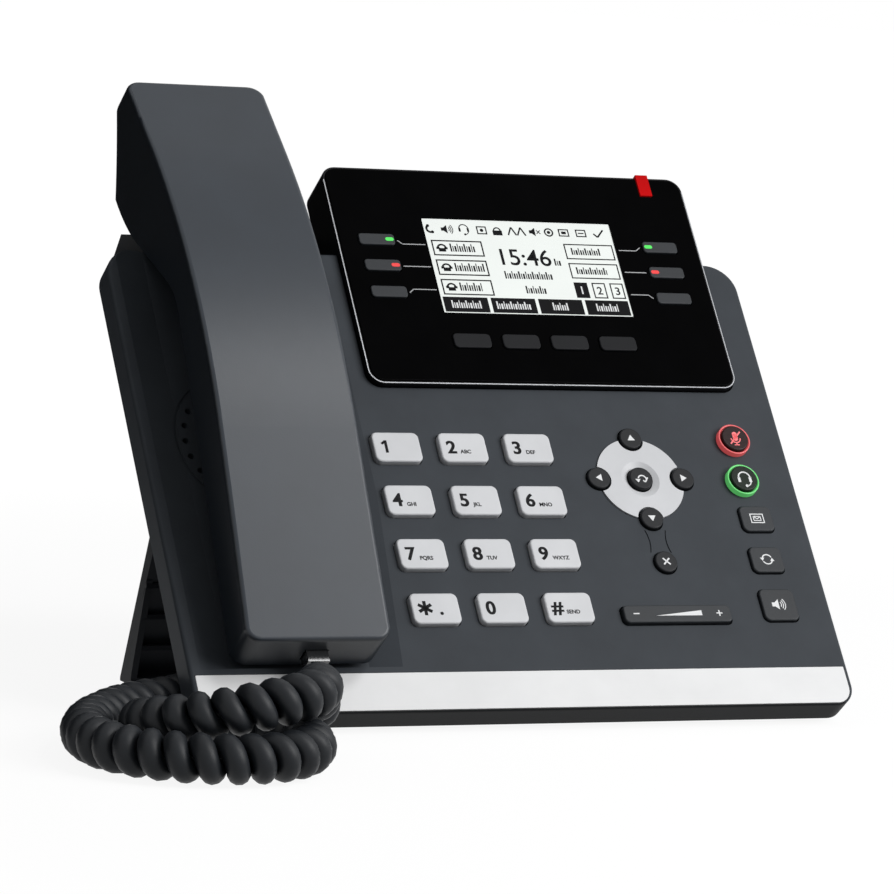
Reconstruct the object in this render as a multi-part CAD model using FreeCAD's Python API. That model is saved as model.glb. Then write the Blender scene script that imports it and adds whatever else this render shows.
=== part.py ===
"""Desk IP phone: a sloping base with a display, keys, cradle, handset, stand and curly handset cord.

The base, its keys and the handset are drawn flat, in the face frame: x to the right, y up the sloping face
from its lower trim line, z out of the face. One placement then stands them up. The stand, the feet and the
cord are drawn in the phone's own frame: +X right, +Y back, +Z up, origin under the middle of the base.
Millimetres throughout.
"""

import FreeCAD
import Part

import math
import os

Vec = FreeCAD.Vector

# Face frame: how the sloping face stands on the desk
FACE_TILT = 51.2
FACE_FOOT_Z = 16.5
DEPTH_CENTRE = 57.38
FACE = FreeCAD.Placement(Vec(0, -DEPTH_CENTRE, FACE_FOOT_Z), FreeCAD.Rotation(Vec(1, 0, 0), FACE_TILT))

# Base housings
BASE_HALF_WIDTH = 106.0
BASE_LOW = -12.7
BASE_HIGH = 147.0
SLAB_DEPTH = 9.0
LOW_CORNER_R = 6.5
HIGH_CORNER_R = 10.0
EDGE_R = 1.2
WALL = 2.4
BACK_W = -30.0
REAR_HALF_WIDTH = 101.0
BACK_HALF_WIDTH = 76.0
LEDGE_HIGH = 163.5
LEDGE_FRONT_W = -16.5
LEDGE_BACK_W = -22.0
LEDGE_START = 138.0
UNDERSIDE_Z = 1.7
REAR_CORNER_R = 8.0

# Trim strip along the lower edge
STRIP_HALF_WIDTH = 104.5
STRIP_LOW = -12.2
STRIP_DEPTH = 1.2
STRIP_CORNER_R = 5.0
STRIP_TOP_R = 0.3
STRIP_GAP = 0.15
STRIP_PROUD = 0.05

# Handset cradle
TROUGH_DEPTH = 2.2
TROUGH_LOW = 2.0
TROUGH_HIGH = 150.0
CREASE_LOW = -40.0
CREASE_HIGH = -35.5
CREASE_BEND = 60.0
TROUGH_RIGHT = -49.5
TROUGH_LEFT = -93.0
TROUGH_RIM = -102.5
CRADLE_RIB = (-40.0, -37.6)

# Loudspeaker under the handset
SPEAKER = (-71.0, 80.0)
SPEAKER_R = 22.0
MAGNET_R = 11.0
GRILLE_RINGS = ((5.5, 6), (10.5, 12), (15.5, 18), (20.5, 24))
GRILLE_HOLE_R = 1.0
GRILLE_GROOVE_R = 23.6

# Display module
DISPLAY = (-30.0, 94.6, 98.5, 178.5)
DISPLAY_CORNER_R = 5.0
DISPLAY_BACK_W = -14.0
DISPLAY_RIM_W = 2.1
DISPLAY_RIM = 0.8
DISPLAY_GAP = 0.3
DISPLAY_EDGE_R = 0.5
DISPLAY_BACK_R = 1.5
WINDOW_BACK_W = 0.5
WINDOW_FRONT_W = 2.5
LCD = (0.0, 65.0, 124.5, 160.0)
LCD_FRAME = (-3.0, 68.0, 121.0, 163.5)
LCD_FRAME_W = (-3.0, 0.3)
LCD_GLASS_W = (0.2, 2.1)
LCD_GAP = 0.2
PANE_EDGE_R = 0.4
LAMP = (78.8, 83.0, 171.0, 179.0)
LAMP_FRONT_W = 2.9
LAMP_LOW_W = -1.0
LAMP_LEG_W = -6.0
LAMP_LEG = 2.2
LAMP_GAP = 0.2

# Keys: centre, size and the joint travel left under them
KEY_GAP = 0.35
HOLE_W = (-WALL - 1.0, 1.0)
FLANGE_OUT = 0.9
FLANGE_TOP_W = -2.7
FLANGE_LOW_W = -3.5
DIAL_COLUMNS = (-26.1, -4.45, 17.2)
DIAL_ROWS = (76.2, 57.65, 39.1, 20.5)
DIAL_NAMES = ("1", "2", "3", "4", "5", "6", "7", "8", "9", "star", "0", "hash")
DIAL_SIZE = (15.4, 10.3)
DIAL_R = 2.0
DIAL_EDGE_R = 0.6
KEY_EDGE_R = 0.5
DIAL_TOP_W = 1.7
LINE_COLUMNS = {"left": -17.0, "right": 80.4}
LINE_ROWS = (150.9, 141.3, 131.5)
LINE_SIZE = (12.0, 4.1)
SOFT_COLUMNS = (6.8, 23.3, 39.8, 56.4)
SOFT_ROW = 114.0
SOFT_SIZE = (12.6, 5.2)
SCREEN_KEY_TOP_W = 3.1
SCREEN_KEY_LOW_W = -0.6
SCREEN_FLANGE_TOP_W = 0.2
SCREEN_R_SHARE = 0.28
SCREEN_FLANGE_OUT = 0.7
SCREEN_GAP = 0.3
SCREEN_EDGE_R = 0.35
NAV = (52.9, 66.1)
NAV_R = 14.3
NAV_TOP_W = 0.5
NAV_LOW_W = -0.75
ARROW_CLEAR = 0.6
DISH_DEPTH = 0.8
ARROW_R = 3.7
ARROW_NAMES = ("right_arrow_key", "up_arrow_key", "left_arrow_key", "down_arrow_key")
OK_R = 3.9
OK_DISH_R = 6.3
ROUND_TOP_W = 1.2
CANCEL = (53.8, 36.5)
LINK_WAIST = 2.6
LINK_R = 12.0
LINK_GROOVE = 0.4
LINK_DEPTH = 0.3
LIT_KEYS = {"mute_key": (88.3, 80.0), "headset_key": (87.5, 65.4)}
LIT_R = 4.5
LIT_TOP_W = 2.6
RING_R = 5.35
RING_IN_R = 4.8
RING_TOP_W = 1.9
RING_EDGE_R = 0.2
RING_FIT = 0.05
SQUARE_KEYS = {
    "message_key": (88.9, 51.8, 10.9, 9.0),
    "redial_key": (88.4, 37.2, 10.9, 9.0),
    "speaker_key": (88.2, 21.3, 11.8, 11.0),
}
SQUARE_R = 2.0
SQUARE_TOP_W = 1.0
ROCKER = (52.75, 18.2, 36.0, 6.0)
ROCKER_TOP_W = 1.5
ROCKER_R = 1.6
ROCKER_END_GAP = 0.6
ROCKER_FLANGE_OUT = 1.0
ROCKER_FLANGE_TOP_W = -3.4
ROCKER_FLANGE_LOW_W = -4.2
MAT_TOP_W = -5.4
MAT_THICK = 1.0
BOARD_TOP_W = -6.8
BOARD_THICK = 1.6
MAIN_BOARD = (-37.0, 97.0, 13.2, 87.0)
DISPLAY_BOARD = (-27.0, 91.4, 102.0, 175.0)
DISPLAY_BOARD_W = -6.6
DISPLAY_MAT_W = (-4.4, -3.4)
MAT_R = 2.0

# Hook switch plunger
HOOK = (-71.0, 139.0)
HOOK_SIZE = (8.0, 5.0)
HOOK_LOW_W = -9.6
HOOK_GAP = 0.35
HOOK_FLANGE_OUT = 1.5
HOOK_FLANGE = 0.8
HOOK_TOP_LOW_EDGE_W = 4.1
HOOK_TOP_HIGH_EDGE_W = 0.9

# Screws that join the housings
SCREWS = ((-62.0, 9.5), (62.0, 9.5), (-62.0, 122.0), (70.0, 91.5))
SCREW_HEAD_R = 3.1
SCREW_R = 1.2
BOSS_R = 4.4
FRONT_BOSS_R = 3.2
SCREW_HEAD_LOW_W = -28.2
SCREW_HEAD_TOP_W = -26.2
SCREW_TIP_W = -5.6

# Sockets on the back: centre, outer size, hole size
JACK_V = 36.0
JACK_DEPTH = 15.0
JACK_HEIGHT = 14.0
RJ9_WIDTH = 16.0
RJ9_HOLE = (7.4, 6.4, 9.0)
RJ9_PLACES = (-62.0, -46.0)
RJ45_WIDTH = 20.0
RJ45_HOLE = (11.8, 8.2, 11.0)
RJ45_PLACES = (4.0, 24.0)
FILLER_PLACE = -22.0
FILLER_WIDTH = 32.0
POWER_PLACE = 43.0
POWER_WIDTH = 18.0
POWER_HOLE = (6.0, 6.0, 9.0)
JACK_GAP = 0.15

# Stand
HINGE_V = 64.0
HINGE_W = -33.5
BARREL_R = 3.2
PIN_R = 2.0
PIN_GAP = 0.25
LUG_PLACES = (-60.0, 60.0)
LUG_WIDTH = 8.0
LUG_R = 4.6
LUG_NOTCH = 9.0
STAND_HALF_WIDTH = 95.0
STAND_RIBS = 7
RIB_THICK = 2.0
STAND_BARS = (11.0, 21.0, 31.0)
BAR_REACH = 4.6
BAR_THICK = 1.4
STAND_THICK = 4.2
FOOT_THICK = 2.2
BARREL_INSET = 3.0
FOOT_LOW_Y = 22.0
FOOT_HIGH_Y = 31.5

# Rubber feet under the front
FEET_X = (-78.0, 62.0)
FOOT_LENGTH = 16.0
FOOT_Y = (-50.0, -37.0)

# Handset
HANDSET_MID = -71.0
HANDSET_HALF = 22.5
HANDSET_WAIST = 0.8
HANDSET_LOW = 2.5
HANDSET_HIGH = 200.0
HANDSET_LOW_R = 4.5
HANDSET_HIGH_R = 5.0
HANDSET_EDGE_R = 1.4
HANDSET_WALL = 2.2
HANDSET_SWEEP = 100.0
TOP_START_W = 15.35
TOP_ARC = ((67.3, 26.1), (119.1, 29.0), (170.3, 20.9))
TIP_W = 12.9
EAR_END_W = 5.0
EAR_BACK = (186.3, -3.7)
EAR_LOW = (173.8, -12.9)
EAR_FRONT = (162.0, -9.6)
NECK_LOW = (148.0, -2.0)
NECK_HIGH = (127.0, 11.6)
GRIP_BEND = (120.0, 14.4)
GRIP_END = (112.0, 14.6)
GRIP_START = (9.0, 1.0)
CHIN_W = 1.4
PARTING = ((-5, 5.5), (9, 5.0), (112, 18.6), (123, 17.4), (150, 1.5), (163, -5.5), (174, -7.6), (186, 1.2),
           (201, 11), (215, 11), (215, -30), (-5, -30))
MOUTH = (-71.0, 20.0)
MOUTH_R = 14.0
MOUTH_LOW_W = -1.7
EAR = (-71.0, 168.5)
RECEIVER_R = 9.5
RECEIVER_W = (-6.0, 1.0)
MIC_V = 16.0
MIC_R = 4.8
MIC_W = (5.2, 9.6)
EAR_RINGS = ((4.0, 6), (8.0, 12))
EAR_HOLE_R = 0.9
JACK_SLOT = (-73.7, -66.3, 0.0, 10.6, 3.9, 9.7)
PLUG = (-73.3, -66.7, -1.0, 10.2, 4.3, 9.3)

# Cord: lead and curl sizes, and the routes of its axis in the phone's frame
LEAD_D = 2.7
CURL_TUBE_D = 4.5
CURL_R = 4.3
CURL_PITCH = 7.0
CURL_RUN_IN = 9.0
STEPS_PER_CURL = 4
BASE_PLUG_W = (-36.0, -23.0)
BASE_PLUG_SIZE = (6.6, 5.6)
HANDSET_LEAD_ROUTE = ((-70.0, -63.7, 19.5), (-71.2, -70.4, 10.8), (-75.2, -77.9, 10.6))
CURL_ROUTE = (
    (-75.5, -78.5, 10.6), (-79.3, -86.3, 11.8), (-82.6, -95.5, 18.8), (-86.6, -105.9, 21.6),
    (-91.1, -116.2, 21.6), (-100.3, -123.4, 21.3), (-111.7, -125.6, 19.6), (-122.9, -122.2, 17.0),
    (-131.3, -114.1, 14.4), (-134.8, -103.0, 12.0), (-132.9, -92.0, 9.6), (-127.1, -83.6, 7.8),
    (-117.9, -80.0, 7.0), (-107.2, -82.0, 7.0), (-97.2, -88.8, 7.0), (-91.1, -99.6, 7.0),
    (-90.0, -112.0, 7.0), (-95.3, -123.8, 7.0), (-105.1, -131.8, 7.0), (-117.3, -134.2, 7.0),
    (-130.4, -131.5, 7.0), (-142.8, -122.5, 7.0), (-149.7, -108.6, 7.0), (-149.4, -92.4, 7.0),
    (-143.0, -76.8, 7.0), (-133.3, -63.1, 7.0), (-122.9, -52.0, 7.0), (-111.3, -44.5, 7.0),
    (-100.0, -37.5, 7.0), (-89.0, -28.8, 7.0),
)
BASE_LEAD_ROUTE = (
    (-88.7, -28.55, 7.0), (-80.8, -22.3, 7.0), (-78.5, -12.0, 1.7), (-79.0, -1.0, 1.7),
    (-74.0, 5.5, 5.2), (-66.5, 5.5, 10.6), (-62.2, 0.2, 16.5), (-62.0, -6.4, 21.8),
)

PARTS = {}


# Basic shapes in the face frame

def outline(left, right, low, high, radii, w):
    """Rounded rectangle face at height w; radii run low left, low right, high right, high left."""
    corners = ((left, low, 1, 1), (right, low, -1, 1), (right, high, -1, -1), (left, high, 1, -1))
    edges = []
    ends = []
    for index, (x, y, in_x, in_y) in enumerate(corners):
        r = radii[index]
        across = Vec(x + in_x * r, y, w)
        along = Vec(x, y + in_y * r, w)
        first, last = (along, across) if index % 2 == 0 else (across, along)
        middle = Vec(x + in_x * r * (1 - math.sqrt(0.5)), y + in_y * r * (1 - math.sqrt(0.5)), w)
        ends.append((first, last))
        edges.append(Part.Arc(first, middle, last).toShape())
    for index in range(4):
        start = ends[index][1]
        stop = ends[(index + 1) % 4][0]
        edges.append(Part.LineSegment(start, stop).toShape())
    return Part.Face(Part.Wire(Part.__sortEdges__(edges)))


def block(left, right, low, high, w_low, w_high, r=0.0):
    """Block with upright corners of radius r, which may be one number or four."""
    if r == 0.0:
        return Part.makeBox(right - left, high - low, w_high - w_low, Vec(left, low, w_low))
    radii = r if isinstance(r, tuple) else (r, r, r, r)
    return outline(left, right, low, high, radii, w_low).extrude(Vec(0, 0, w_high - w_low))


def centred(u, v, size_u, size_v, w_low, w_high, r=0.0):
    return block(u - size_u / 2, u + size_u / 2, v - size_v / 2, v + size_v / 2, w_low, w_high, r)


def disc(u, v, r, w_low, w_high):
    return Part.makeCylinder(r, w_high - w_low, Vec(u, v, w_low))


def side_prism(points, left, right):
    """Prism across the phone from a closed outline of (v, w) points."""
    loop = [Vec(left, v, w) for v, w in points]
    return Part.Face(Part.makePolygon(loop + loop[:1])).extrude(Vec(right - left, 0, 0))


def end_prism(points, low, high):
    """Prism up the face from a closed outline of (u, w) points."""
    loop = [Vec(u, low, w) for u, w in points]
    return Part.Face(Part.makePolygon(loop + loop[:1])).extrude(Vec(0, high - low, 0))


def rounded_rim(shape, w, r):
    """Round every edge that lies wholly in the plane at height w."""
    edges = [e for e in shape.Edges if all(abs(p.z - w) < 1e-6 for p in e.discretize(5))]
    return shape.makeFillet(r, edges)


def ring_of_holes(centre, rings, r, w_low, w_high):
    holes = [disc(centre[0], centre[1], r, w_low, w_high)]
    for radius, count in rings:
        for index in range(count):
            angle = 2 * math.pi * index / count
            u = centre[0] + radius * math.cos(angle)
            v = centre[1] + radius * math.sin(angle)
            holes.append(disc(u, v, r, w_low, w_high))
    return holes


def add(name, shape, standing=False):
    """Keep a piece under its name, standing it up if it was drawn in the face frame."""
    if standing:
        PARTS[name] = shape
        return
    placed = shape.copy()
    placed.Placement = FACE.multiply(placed.Placement)
    PARTS[name] = placed


# Keys and the holes that they leave in the housings

def flanged_key(cap, flange, top_w, r):
    return rounded_rim(cap, top_w, r).fuse(flange).removeSplitter()


def dial_keys():
    """The twelve dial keys, and their holes."""
    holes = []
    for index, label in enumerate(DIAL_NAMES):
        u = DIAL_COLUMNS[index % 3]
        v = DIAL_ROWS[index // 3]
        width, height = DIAL_SIZE
        cap = centred(u, v, width, height, FLANGE_TOP_W, DIAL_TOP_W, DIAL_R)
        flange = centred(u, v, width + 2 * FLANGE_OUT, height + 2 * FLANGE_OUT, FLANGE_LOW_W, FLANGE_TOP_W)
        add("dial_key_" + label, flanged_key(cap, flange, DIAL_TOP_W, DIAL_EDGE_R))
        holes.append(centred(u, v, width + 2 * KEY_GAP, height + 2 * KEY_GAP, *HOLE_W, DIAL_R + KEY_GAP))
    return holes


def round_key(name, u, v, r, top_w):
    cap = disc(u, v, r, FLANGE_TOP_W, top_w)
    flange = disc(u, v, r + FLANGE_OUT, FLANGE_LOW_W, FLANGE_TOP_W)
    add(name, flanged_key(cap, flange, top_w, KEY_EDGE_R))
    return disc(u, v, r + KEY_GAP, *HOLE_W)


def arrow_place(index):
    angle = math.pi / 2 * index
    return NAV[0] + NAV_R * math.cos(angle), NAV[1] + NAV_R * math.sin(angle)


def navigation_keys():
    holes = [round_key("ok_key", NAV[0], NAV[1], OK_R, ROUND_TOP_W)]
    for index, name in enumerate(ARROW_NAMES):
        u, v = arrow_place(index)
        holes.append(round_key(name, u, v, ARROW_R, ROUND_TOP_W))
    holes.append(round_key("cancel_key", CANCEL[0], CANCEL[1], ARROW_R, ROUND_TOP_W))
    return holes


def nav_plate():
    """Silver disc between the arrow keys, dished round the middle key."""
    plate = disc(NAV[0], NAV[1], NAV_R, NAV_LOW_W, NAV_TOP_W)
    for index in range(4):
        u, v = arrow_place(index)
        plate = plate.cut(disc(u, v, ARROW_R + ARROW_CLEAR, *HOLE_W))
    plate = plate.cut(disc(NAV[0], NAV[1], OK_R + KEY_GAP, *HOLE_W))
    dish = Part.makeCone(OK_R + KEY_GAP, OK_DISH_R, DISH_DEPTH, Vec(NAV[0], NAV[1], NAV_TOP_W - DISH_DEPTH))
    add("nav_plate", plate.cut(dish))
    return disc(NAV[0], NAV[1], NAV_R + KEY_GAP / 2, NAV_LOW_W, HOLE_W[1])


def link_grooves():
    """Two fine grooves that join the down arrow to the cancel key, drawn in at the waist."""
    low = CANCEL[1] + ARROW_R
    high = NAV[1] - NAV_R - ARROW_R
    middle = (NAV[0] + CANCEL[0]) / 2
    gate = block(middle - LINK_R, middle + LINK_R, low, high, -LINK_DEPTH, HOLE_W[1])
    grooves = []
    for side in (-1, 1):
        centre = middle + side * (LINK_WAIST + LINK_R)
        ring = disc(centre, (low + high) / 2, LINK_R, -LINK_DEPTH, HOLE_W[1])
        ring = ring.cut(disc(centre, (low + high) / 2, LINK_R - LINK_GROOVE, *HOLE_W))
        grooves.append(ring.common(gate))
    return grooves


def lit_keys():
    """Mute and headset keys, each in a fixed translucent ring."""
    holes = []
    rings = []
    for name, (u, v) in LIT_KEYS.items():
        round_key(name, u, v, LIT_R, LIT_TOP_W)
        ring = disc(u, v, RING_R, -WALL, RING_TOP_W).cut(disc(u, v, RING_IN_R, -WALL - 1, RING_TOP_W + 1))
        rings.append(rounded_rim(ring, RING_TOP_W, RING_EDGE_R))
        holes.append(disc(u, v, RING_R + RING_FIT, *HOLE_W))
    add("key_light_rings", Part.Compound(rings))
    return holes


def square_keys():
    holes = []
    for name, (u, v, width, height) in SQUARE_KEYS.items():
        cap = centred(u, v, width, height, FLANGE_TOP_W, SQUARE_TOP_W, SQUARE_R)
        flange = centred(u, v, width + 2 * FLANGE_OUT, height + 2 * FLANGE_OUT, FLANGE_LOW_W, FLANGE_TOP_W)
        add(name, flanged_key(cap, flange, SQUARE_TOP_W, KEY_EDGE_R))
        holes.append(centred(u, v, width + 2 * KEY_GAP, height + 2 * KEY_GAP, *HOLE_W, SQUARE_R + KEY_GAP))
    return holes


def volume_rocker():
    u, v, length, height = ROCKER
    cap = centred(u, v, length, height, ROCKER_FLANGE_TOP_W, ROCKER_TOP_W, ROCKER_R)
    flange = centred(u, v, length + 2 * ROCKER_FLANGE_OUT, height + 2 * FLANGE_OUT, ROCKER_FLANGE_LOW_W,
                     ROCKER_FLANGE_TOP_W)
    add("volume_rocker", flanged_key(cap, flange, ROCKER_TOP_W, KEY_EDGE_R))
    return [centred(u, v, length + 2 * ROCKER_END_GAP, height + 2 * KEY_GAP, *HOLE_W, ROCKER_R + KEY_GAP)]


def screen_keys():
    """Line keys and soft keys that come through the display window."""
    holes = []
    places = {}
    for side, u in LINE_COLUMNS.items():
        for row, v in enumerate(LINE_ROWS):
            places["line_key_%s_%d" % (side, row + 1)] = (u, v) + LINE_SIZE
    for column, u in enumerate(SOFT_COLUMNS):
        places["soft_key_%d" % (column + 1)] = (u, SOFT_ROW) + SOFT_SIZE
    for name, (u, v, width, height) in places.items():
        r = SCREEN_R_SHARE * height
        cap = centred(u, v, width, height, SCREEN_FLANGE_TOP_W, SCREEN_KEY_TOP_W, r)
        flange = centred(u, v, width + 2 * SCREEN_FLANGE_OUT, height + 2 * SCREEN_FLANGE_OUT, SCREEN_KEY_LOW_W,
                         SCREEN_FLANGE_TOP_W)
        add(name, flanged_key(cap, flange, SCREEN_KEY_TOP_W, SCREEN_EDGE_R))
        holes.append(centred(u, v, width + 2 * SCREEN_GAP, height + 2 * SCREEN_GAP, 0, WINDOW_FRONT_W + 1,
                             r + SCREEN_GAP))
    return holes


# Housings

def trough_cut():
    """Shallow cradle for the handset, with a crease that swings out near the bottom."""
    sections = []
    for v, crease in ((TROUGH_LOW, CREASE_LOW), (CREASE_BEND, CREASE_HIGH), (TROUGH_HIGH, CREASE_HIGH)):
        points = ((crease, 2), (crease, 0), (TROUGH_RIGHT, -TROUGH_DEPTH), (TROUGH_LEFT, -TROUGH_DEPTH),
                  (TROUGH_RIM, 0), (TROUGH_RIM, 2))
        loop = [Vec(u, v, w) for u, w in points]
        sections.append(Part.makePolygon(loop + loop[:1]))
    return Part.makeLoft(sections, True, True)


def front_housing(key_holes):
    radii = (LOW_CORNER_R, LOW_CORNER_R, HIGH_CORNER_R, HIGH_CORNER_R)
    shell = block(-BASE_HALF_WIDTH, BASE_HALF_WIDTH, BASE_LOW, BASE_HIGH, -SLAB_DEPTH, 0, radii)
    shell = rounded_rim(shell, 0, EDGE_R)
    inner = BASE_HALF_WIDTH - WALL
    low = BASE_LOW + WALL
    high = BASE_HIGH - WALL
    low_r = LOW_CORNER_R - WALL
    high_r = HIGH_CORNER_R - WALL
    right_space = block(CRADLE_RIB[1], inner, low, high, -SLAB_DEPTH - 1, -WALL, (1.0, low_r, high_r, 1.0))
    left_space = block(-inner, CRADLE_RIB[0], low, high, -SLAB_DEPTH - 1, -WALL - TROUGH_DEPTH,
                       (low_r, 1.0, 1.0, high_r))
    shell = shell.cut([right_space, left_space])
    left, right, bottom, _ = DISPLAY
    notch = block(left - DISPLAY_GAP, right + DISPLAY_GAP, bottom - DISPLAY_GAP, BASE_HIGH + 2 * HIGH_CORNER_R,
                  -SLAB_DEPTH - 1, 3, DISPLAY_CORNER_R)
    recess_half = STRIP_HALF_WIDTH + STRIP_GAP
    strip = block(-recess_half, recess_half, STRIP_LOW - STRIP_GAP, STRIP_GAP, -STRIP_DEPTH, 1,
                  (STRIP_CORNER_R, STRIP_CORNER_R, STRIP_TOP_R, STRIP_TOP_R))
    hook = centred(HOOK[0], HOOK[1], HOOK_SIZE[0] + 2 * HOOK_GAP, HOOK_SIZE[1] + 2 * HOOK_GAP, -SLAB_DEPTH, 1,
                   2 * HOOK_GAP)
    bosses = []
    for u, v in SCREWS:
        plate_w = -WALL if u > CREASE_HIGH else -WALL - TROUGH_DEPTH
        bosses.append(disc(u, v, FRONT_BOSS_R, -SLAB_DEPTH, plate_w + 0.5))
    shell = shell.cut([trough_cut(), notch, strip, hook]).fuse(bosses)
    holes = [disc(u, v, SCREW_R + 0.05, -SLAB_DEPTH - 1, SCREW_TIP_W + 0.4) for u, v in SCREWS]
    floor_w = -TROUGH_DEPTH
    holes += ring_of_holes(SPEAKER, GRILLE_RINGS, GRILLE_HOLE_R, floor_w - WALL - 1, 1)
    groove = disc(SPEAKER[0], SPEAKER[1], GRILLE_GROOVE_R + 0.4, floor_w - 0.4, 1)
    groove = groove.cut(disc(SPEAKER[0], SPEAKER[1], GRILLE_GROOVE_R - 0.4, floor_w - 1, 2))
    shell = shell.cut(holes + [groove] + key_holes)
    add("front_housing", shell.removeSplitter())


def floor_v(w, z):
    """Where the level plane at height z crosses the face-frame depth w."""
    tilt = math.radians(FACE_TILT)
    return (z - FACE_FOOT_Z - w * math.cos(tilt)) / math.sin(tilt)


def rear_space(inset):
    """Solid form of the rear housing, drawn in by an inset on every side."""
    top_w = -SLAB_DEPTH
    side = ((floor_v(top_w, UNDERSIDE_Z), top_w), (floor_v(BACK_W, UNDERSIDE_Z), BACK_W),
            (LEDGE_START, BACK_W), (LEDGE_HIGH, LEDGE_BACK_W), (LEDGE_HIGH, LEDGE_FRONT_W),
            (BASE_HIGH - 1, top_w))
    ends = ((-REAR_HALF_WIDTH, top_w), (-BACK_HALF_WIDTH, BACK_W), (BACK_HALF_WIDTH, BACK_W),
            (REAR_HALF_WIDTH, top_w))
    low = floor_v(top_w, UNDERSIDE_Z)
    form = outline(-REAR_HALF_WIDTH + inset, REAR_HALF_WIDTH - inset, low + inset, LEDGE_HIGH - inset,
                   (REAR_CORNER_R - inset,) * 4, BACK_W - 1).extrude(Vec(0, 0, 30))
    for points, flat in ((side, lambda a, b: Vec(0, a, b)), (ends, lambda a, b: Vec(a, 0, b))):
        loop = [flat(a, b) for a, b in points]
        wire = Part.makePolygon(loop + loop[:1])
        face = Part.Face(wire.makeOffset2D(-inset, 2) if inset else wire)
        along = Vec(400, 0, 0) if flat(0, 1).x == 0 and flat(1, 0).y == 1 else Vec(0, 400, 0)
        face.translate(along * -0.5)
        form = form.common(face.extrude(along))
    return form


def rear_housing():
    shell = rear_space(0).cut(rear_space(WALL))
    inner = REAR_HALF_WIDTH - 2.6 * WALL
    mouth = block(-inner, inner, BASE_LOW + 2.2 * WALL, BASE_HIGH - 1.2 * WALL, -SLAB_DEPTH - 1.1 * WALL,
                  -SLAB_DEPTH + 1, 4.0)
    shell = shell.cut(mouth)
    bosses = [disc(u, v, BOSS_R, BACK_W + 0.5, -SLAB_DEPTH) for u, v in SCREWS]
    lugs = []
    for u in LUG_PLACES:
        left = u - LUG_WIDTH / 2
        arm = block(left, left + LUG_WIDTH, HINGE_V - LUG_R, HINGE_V + LUG_R, HINGE_W, BACK_W + 0.5)
        eye = Part.makeCylinder(LUG_R, LUG_WIDTH, Vec(u - LUG_WIDTH / 2, HINGE_V, HINGE_W), Vec(1, 0, 0))
        lugs.append(arm.fuse(eye))
    shell = shell.fuse(bosses + lugs)
    cuts = []
    for u, v in SCREWS:
        cuts.append(disc(u, v, SCREW_R + 0.4, BACK_W - 1, 0))
        cuts.append(disc(u, v, SCREW_HEAD_R + 0.3, BACK_W - 1, SCREW_HEAD_TOP_W))
    for u in LUG_PLACES:
        start = Vec(u - LUG_NOTCH / 2, HINGE_V, HINGE_W)
        cuts.append(Part.makeCylinder(PIN_R + PIN_GAP, LUG_NOTCH, start, Vec(1, 0, 0)))
    left, right, bottom, top = DISPLAY
    cuts.append(block(left - DISPLAY_GAP, right + DISPLAY_GAP, bottom - DISPLAY_GAP, top + 1,
                      DISPLAY_BACK_W - DISPLAY_GAP, 5))
    strip_left = RJ9_PLACES[0] - RJ9_WIDTH / 2 - JACK_GAP
    strip_right = POWER_PLACE + POWER_WIDTH / 2 + JACK_GAP
    half = JACK_HEIGHT / 2 + JACK_GAP
    cuts.append(block(strip_left, strip_right, JACK_V - half, JACK_V + half, BACK_W - 1, BACK_W + WALL + 1))
    add("rear_housing", shell.cut(cuts).removeSplitter())


def trim_strip():
    strip = block(-STRIP_HALF_WIDTH, STRIP_HALF_WIDTH, STRIP_LOW, 0, -STRIP_DEPTH, STRIP_PROUD,
                  (STRIP_CORNER_R, STRIP_CORNER_R, STRIP_TOP_R, STRIP_TOP_R))
    add("trim_strip", strip)


# Display module

def display_housing():
    left, right, low, high = DISPLAY
    shell = block(left, right, low, high, DISPLAY_BACK_W, DISPLAY_RIM_W, DISPLAY_CORNER_R)
    shell = rounded_rim(shell, DISPLAY_RIM_W, DISPLAY_EDGE_R)
    shell = rounded_rim(shell, DISPLAY_BACK_W, DISPLAY_BACK_R)
    rim = DISPLAY_RIM - RING_FIT
    pocket = block(left + rim, right - rim, low + rim, high - rim, WINDOW_BACK_W, 5, DISPLAY_CORNER_R - rim)
    space = block(left + WALL, right - WALL, low + WALL, high - WALL, DISPLAY_BACK_W + WALL, 5,
                  DISPLAY_CORNER_R - WALL)
    lamp = block(LAMP[0] - LAMP_GAP, LAMP[1] + LAMP_GAP, LAMP[3] - 2 * LAMP_LEG, high + 2,
                 LAMP_LEG_W - LAMP_GAP, 5)
    add("display_housing", shell.cut([pocket, space, lamp]))


def display_window(key_holes):
    left, right, low, high = DISPLAY
    rim = DISPLAY_RIM
    pane = block(left + rim, right - rim, low + rim, high - rim, WINDOW_BACK_W, WINDOW_FRONT_W,
                 DISPLAY_CORNER_R - rim)
    pane = rounded_rim(pane, WINDOW_FRONT_W, PANE_EDGE_R)
    lcd = block(*LCD, 0, 5, PANE_EDGE_R)
    lamp = block(LAMP[0] - LAMP_GAP, LAMP[1] + LAMP_GAP, LAMP[2] - LAMP_GAP, high + 2, 0, 5)
    add("display_window", pane.cut(key_holes + [lcd, lamp]))


def display_inside():
    """Screen with its frame, and the red message lamp that wraps over the top edge."""
    left, right, low, high = LCD
    glass = block(left + LCD_GAP, right - LCD_GAP, low + LCD_GAP, high - LCD_GAP, *LCD_GLASS_W, PANE_EDGE_R)
    add("lcd_module", block(*LCD_FRAME, *LCD_FRAME_W).fuse(glass).removeSplitter())
    left, right, low, high = LAMP
    leg = block(left, right, high - LAMP_LEG, high, LAMP_LEG_W, LAMP_FRONT_W)
    lamp = block(left, right, low, high, LAMP_LOW_W, LAMP_FRONT_W).fuse(leg)
    add("message_light", lamp.removeSplitter())


# Inside the base

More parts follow.
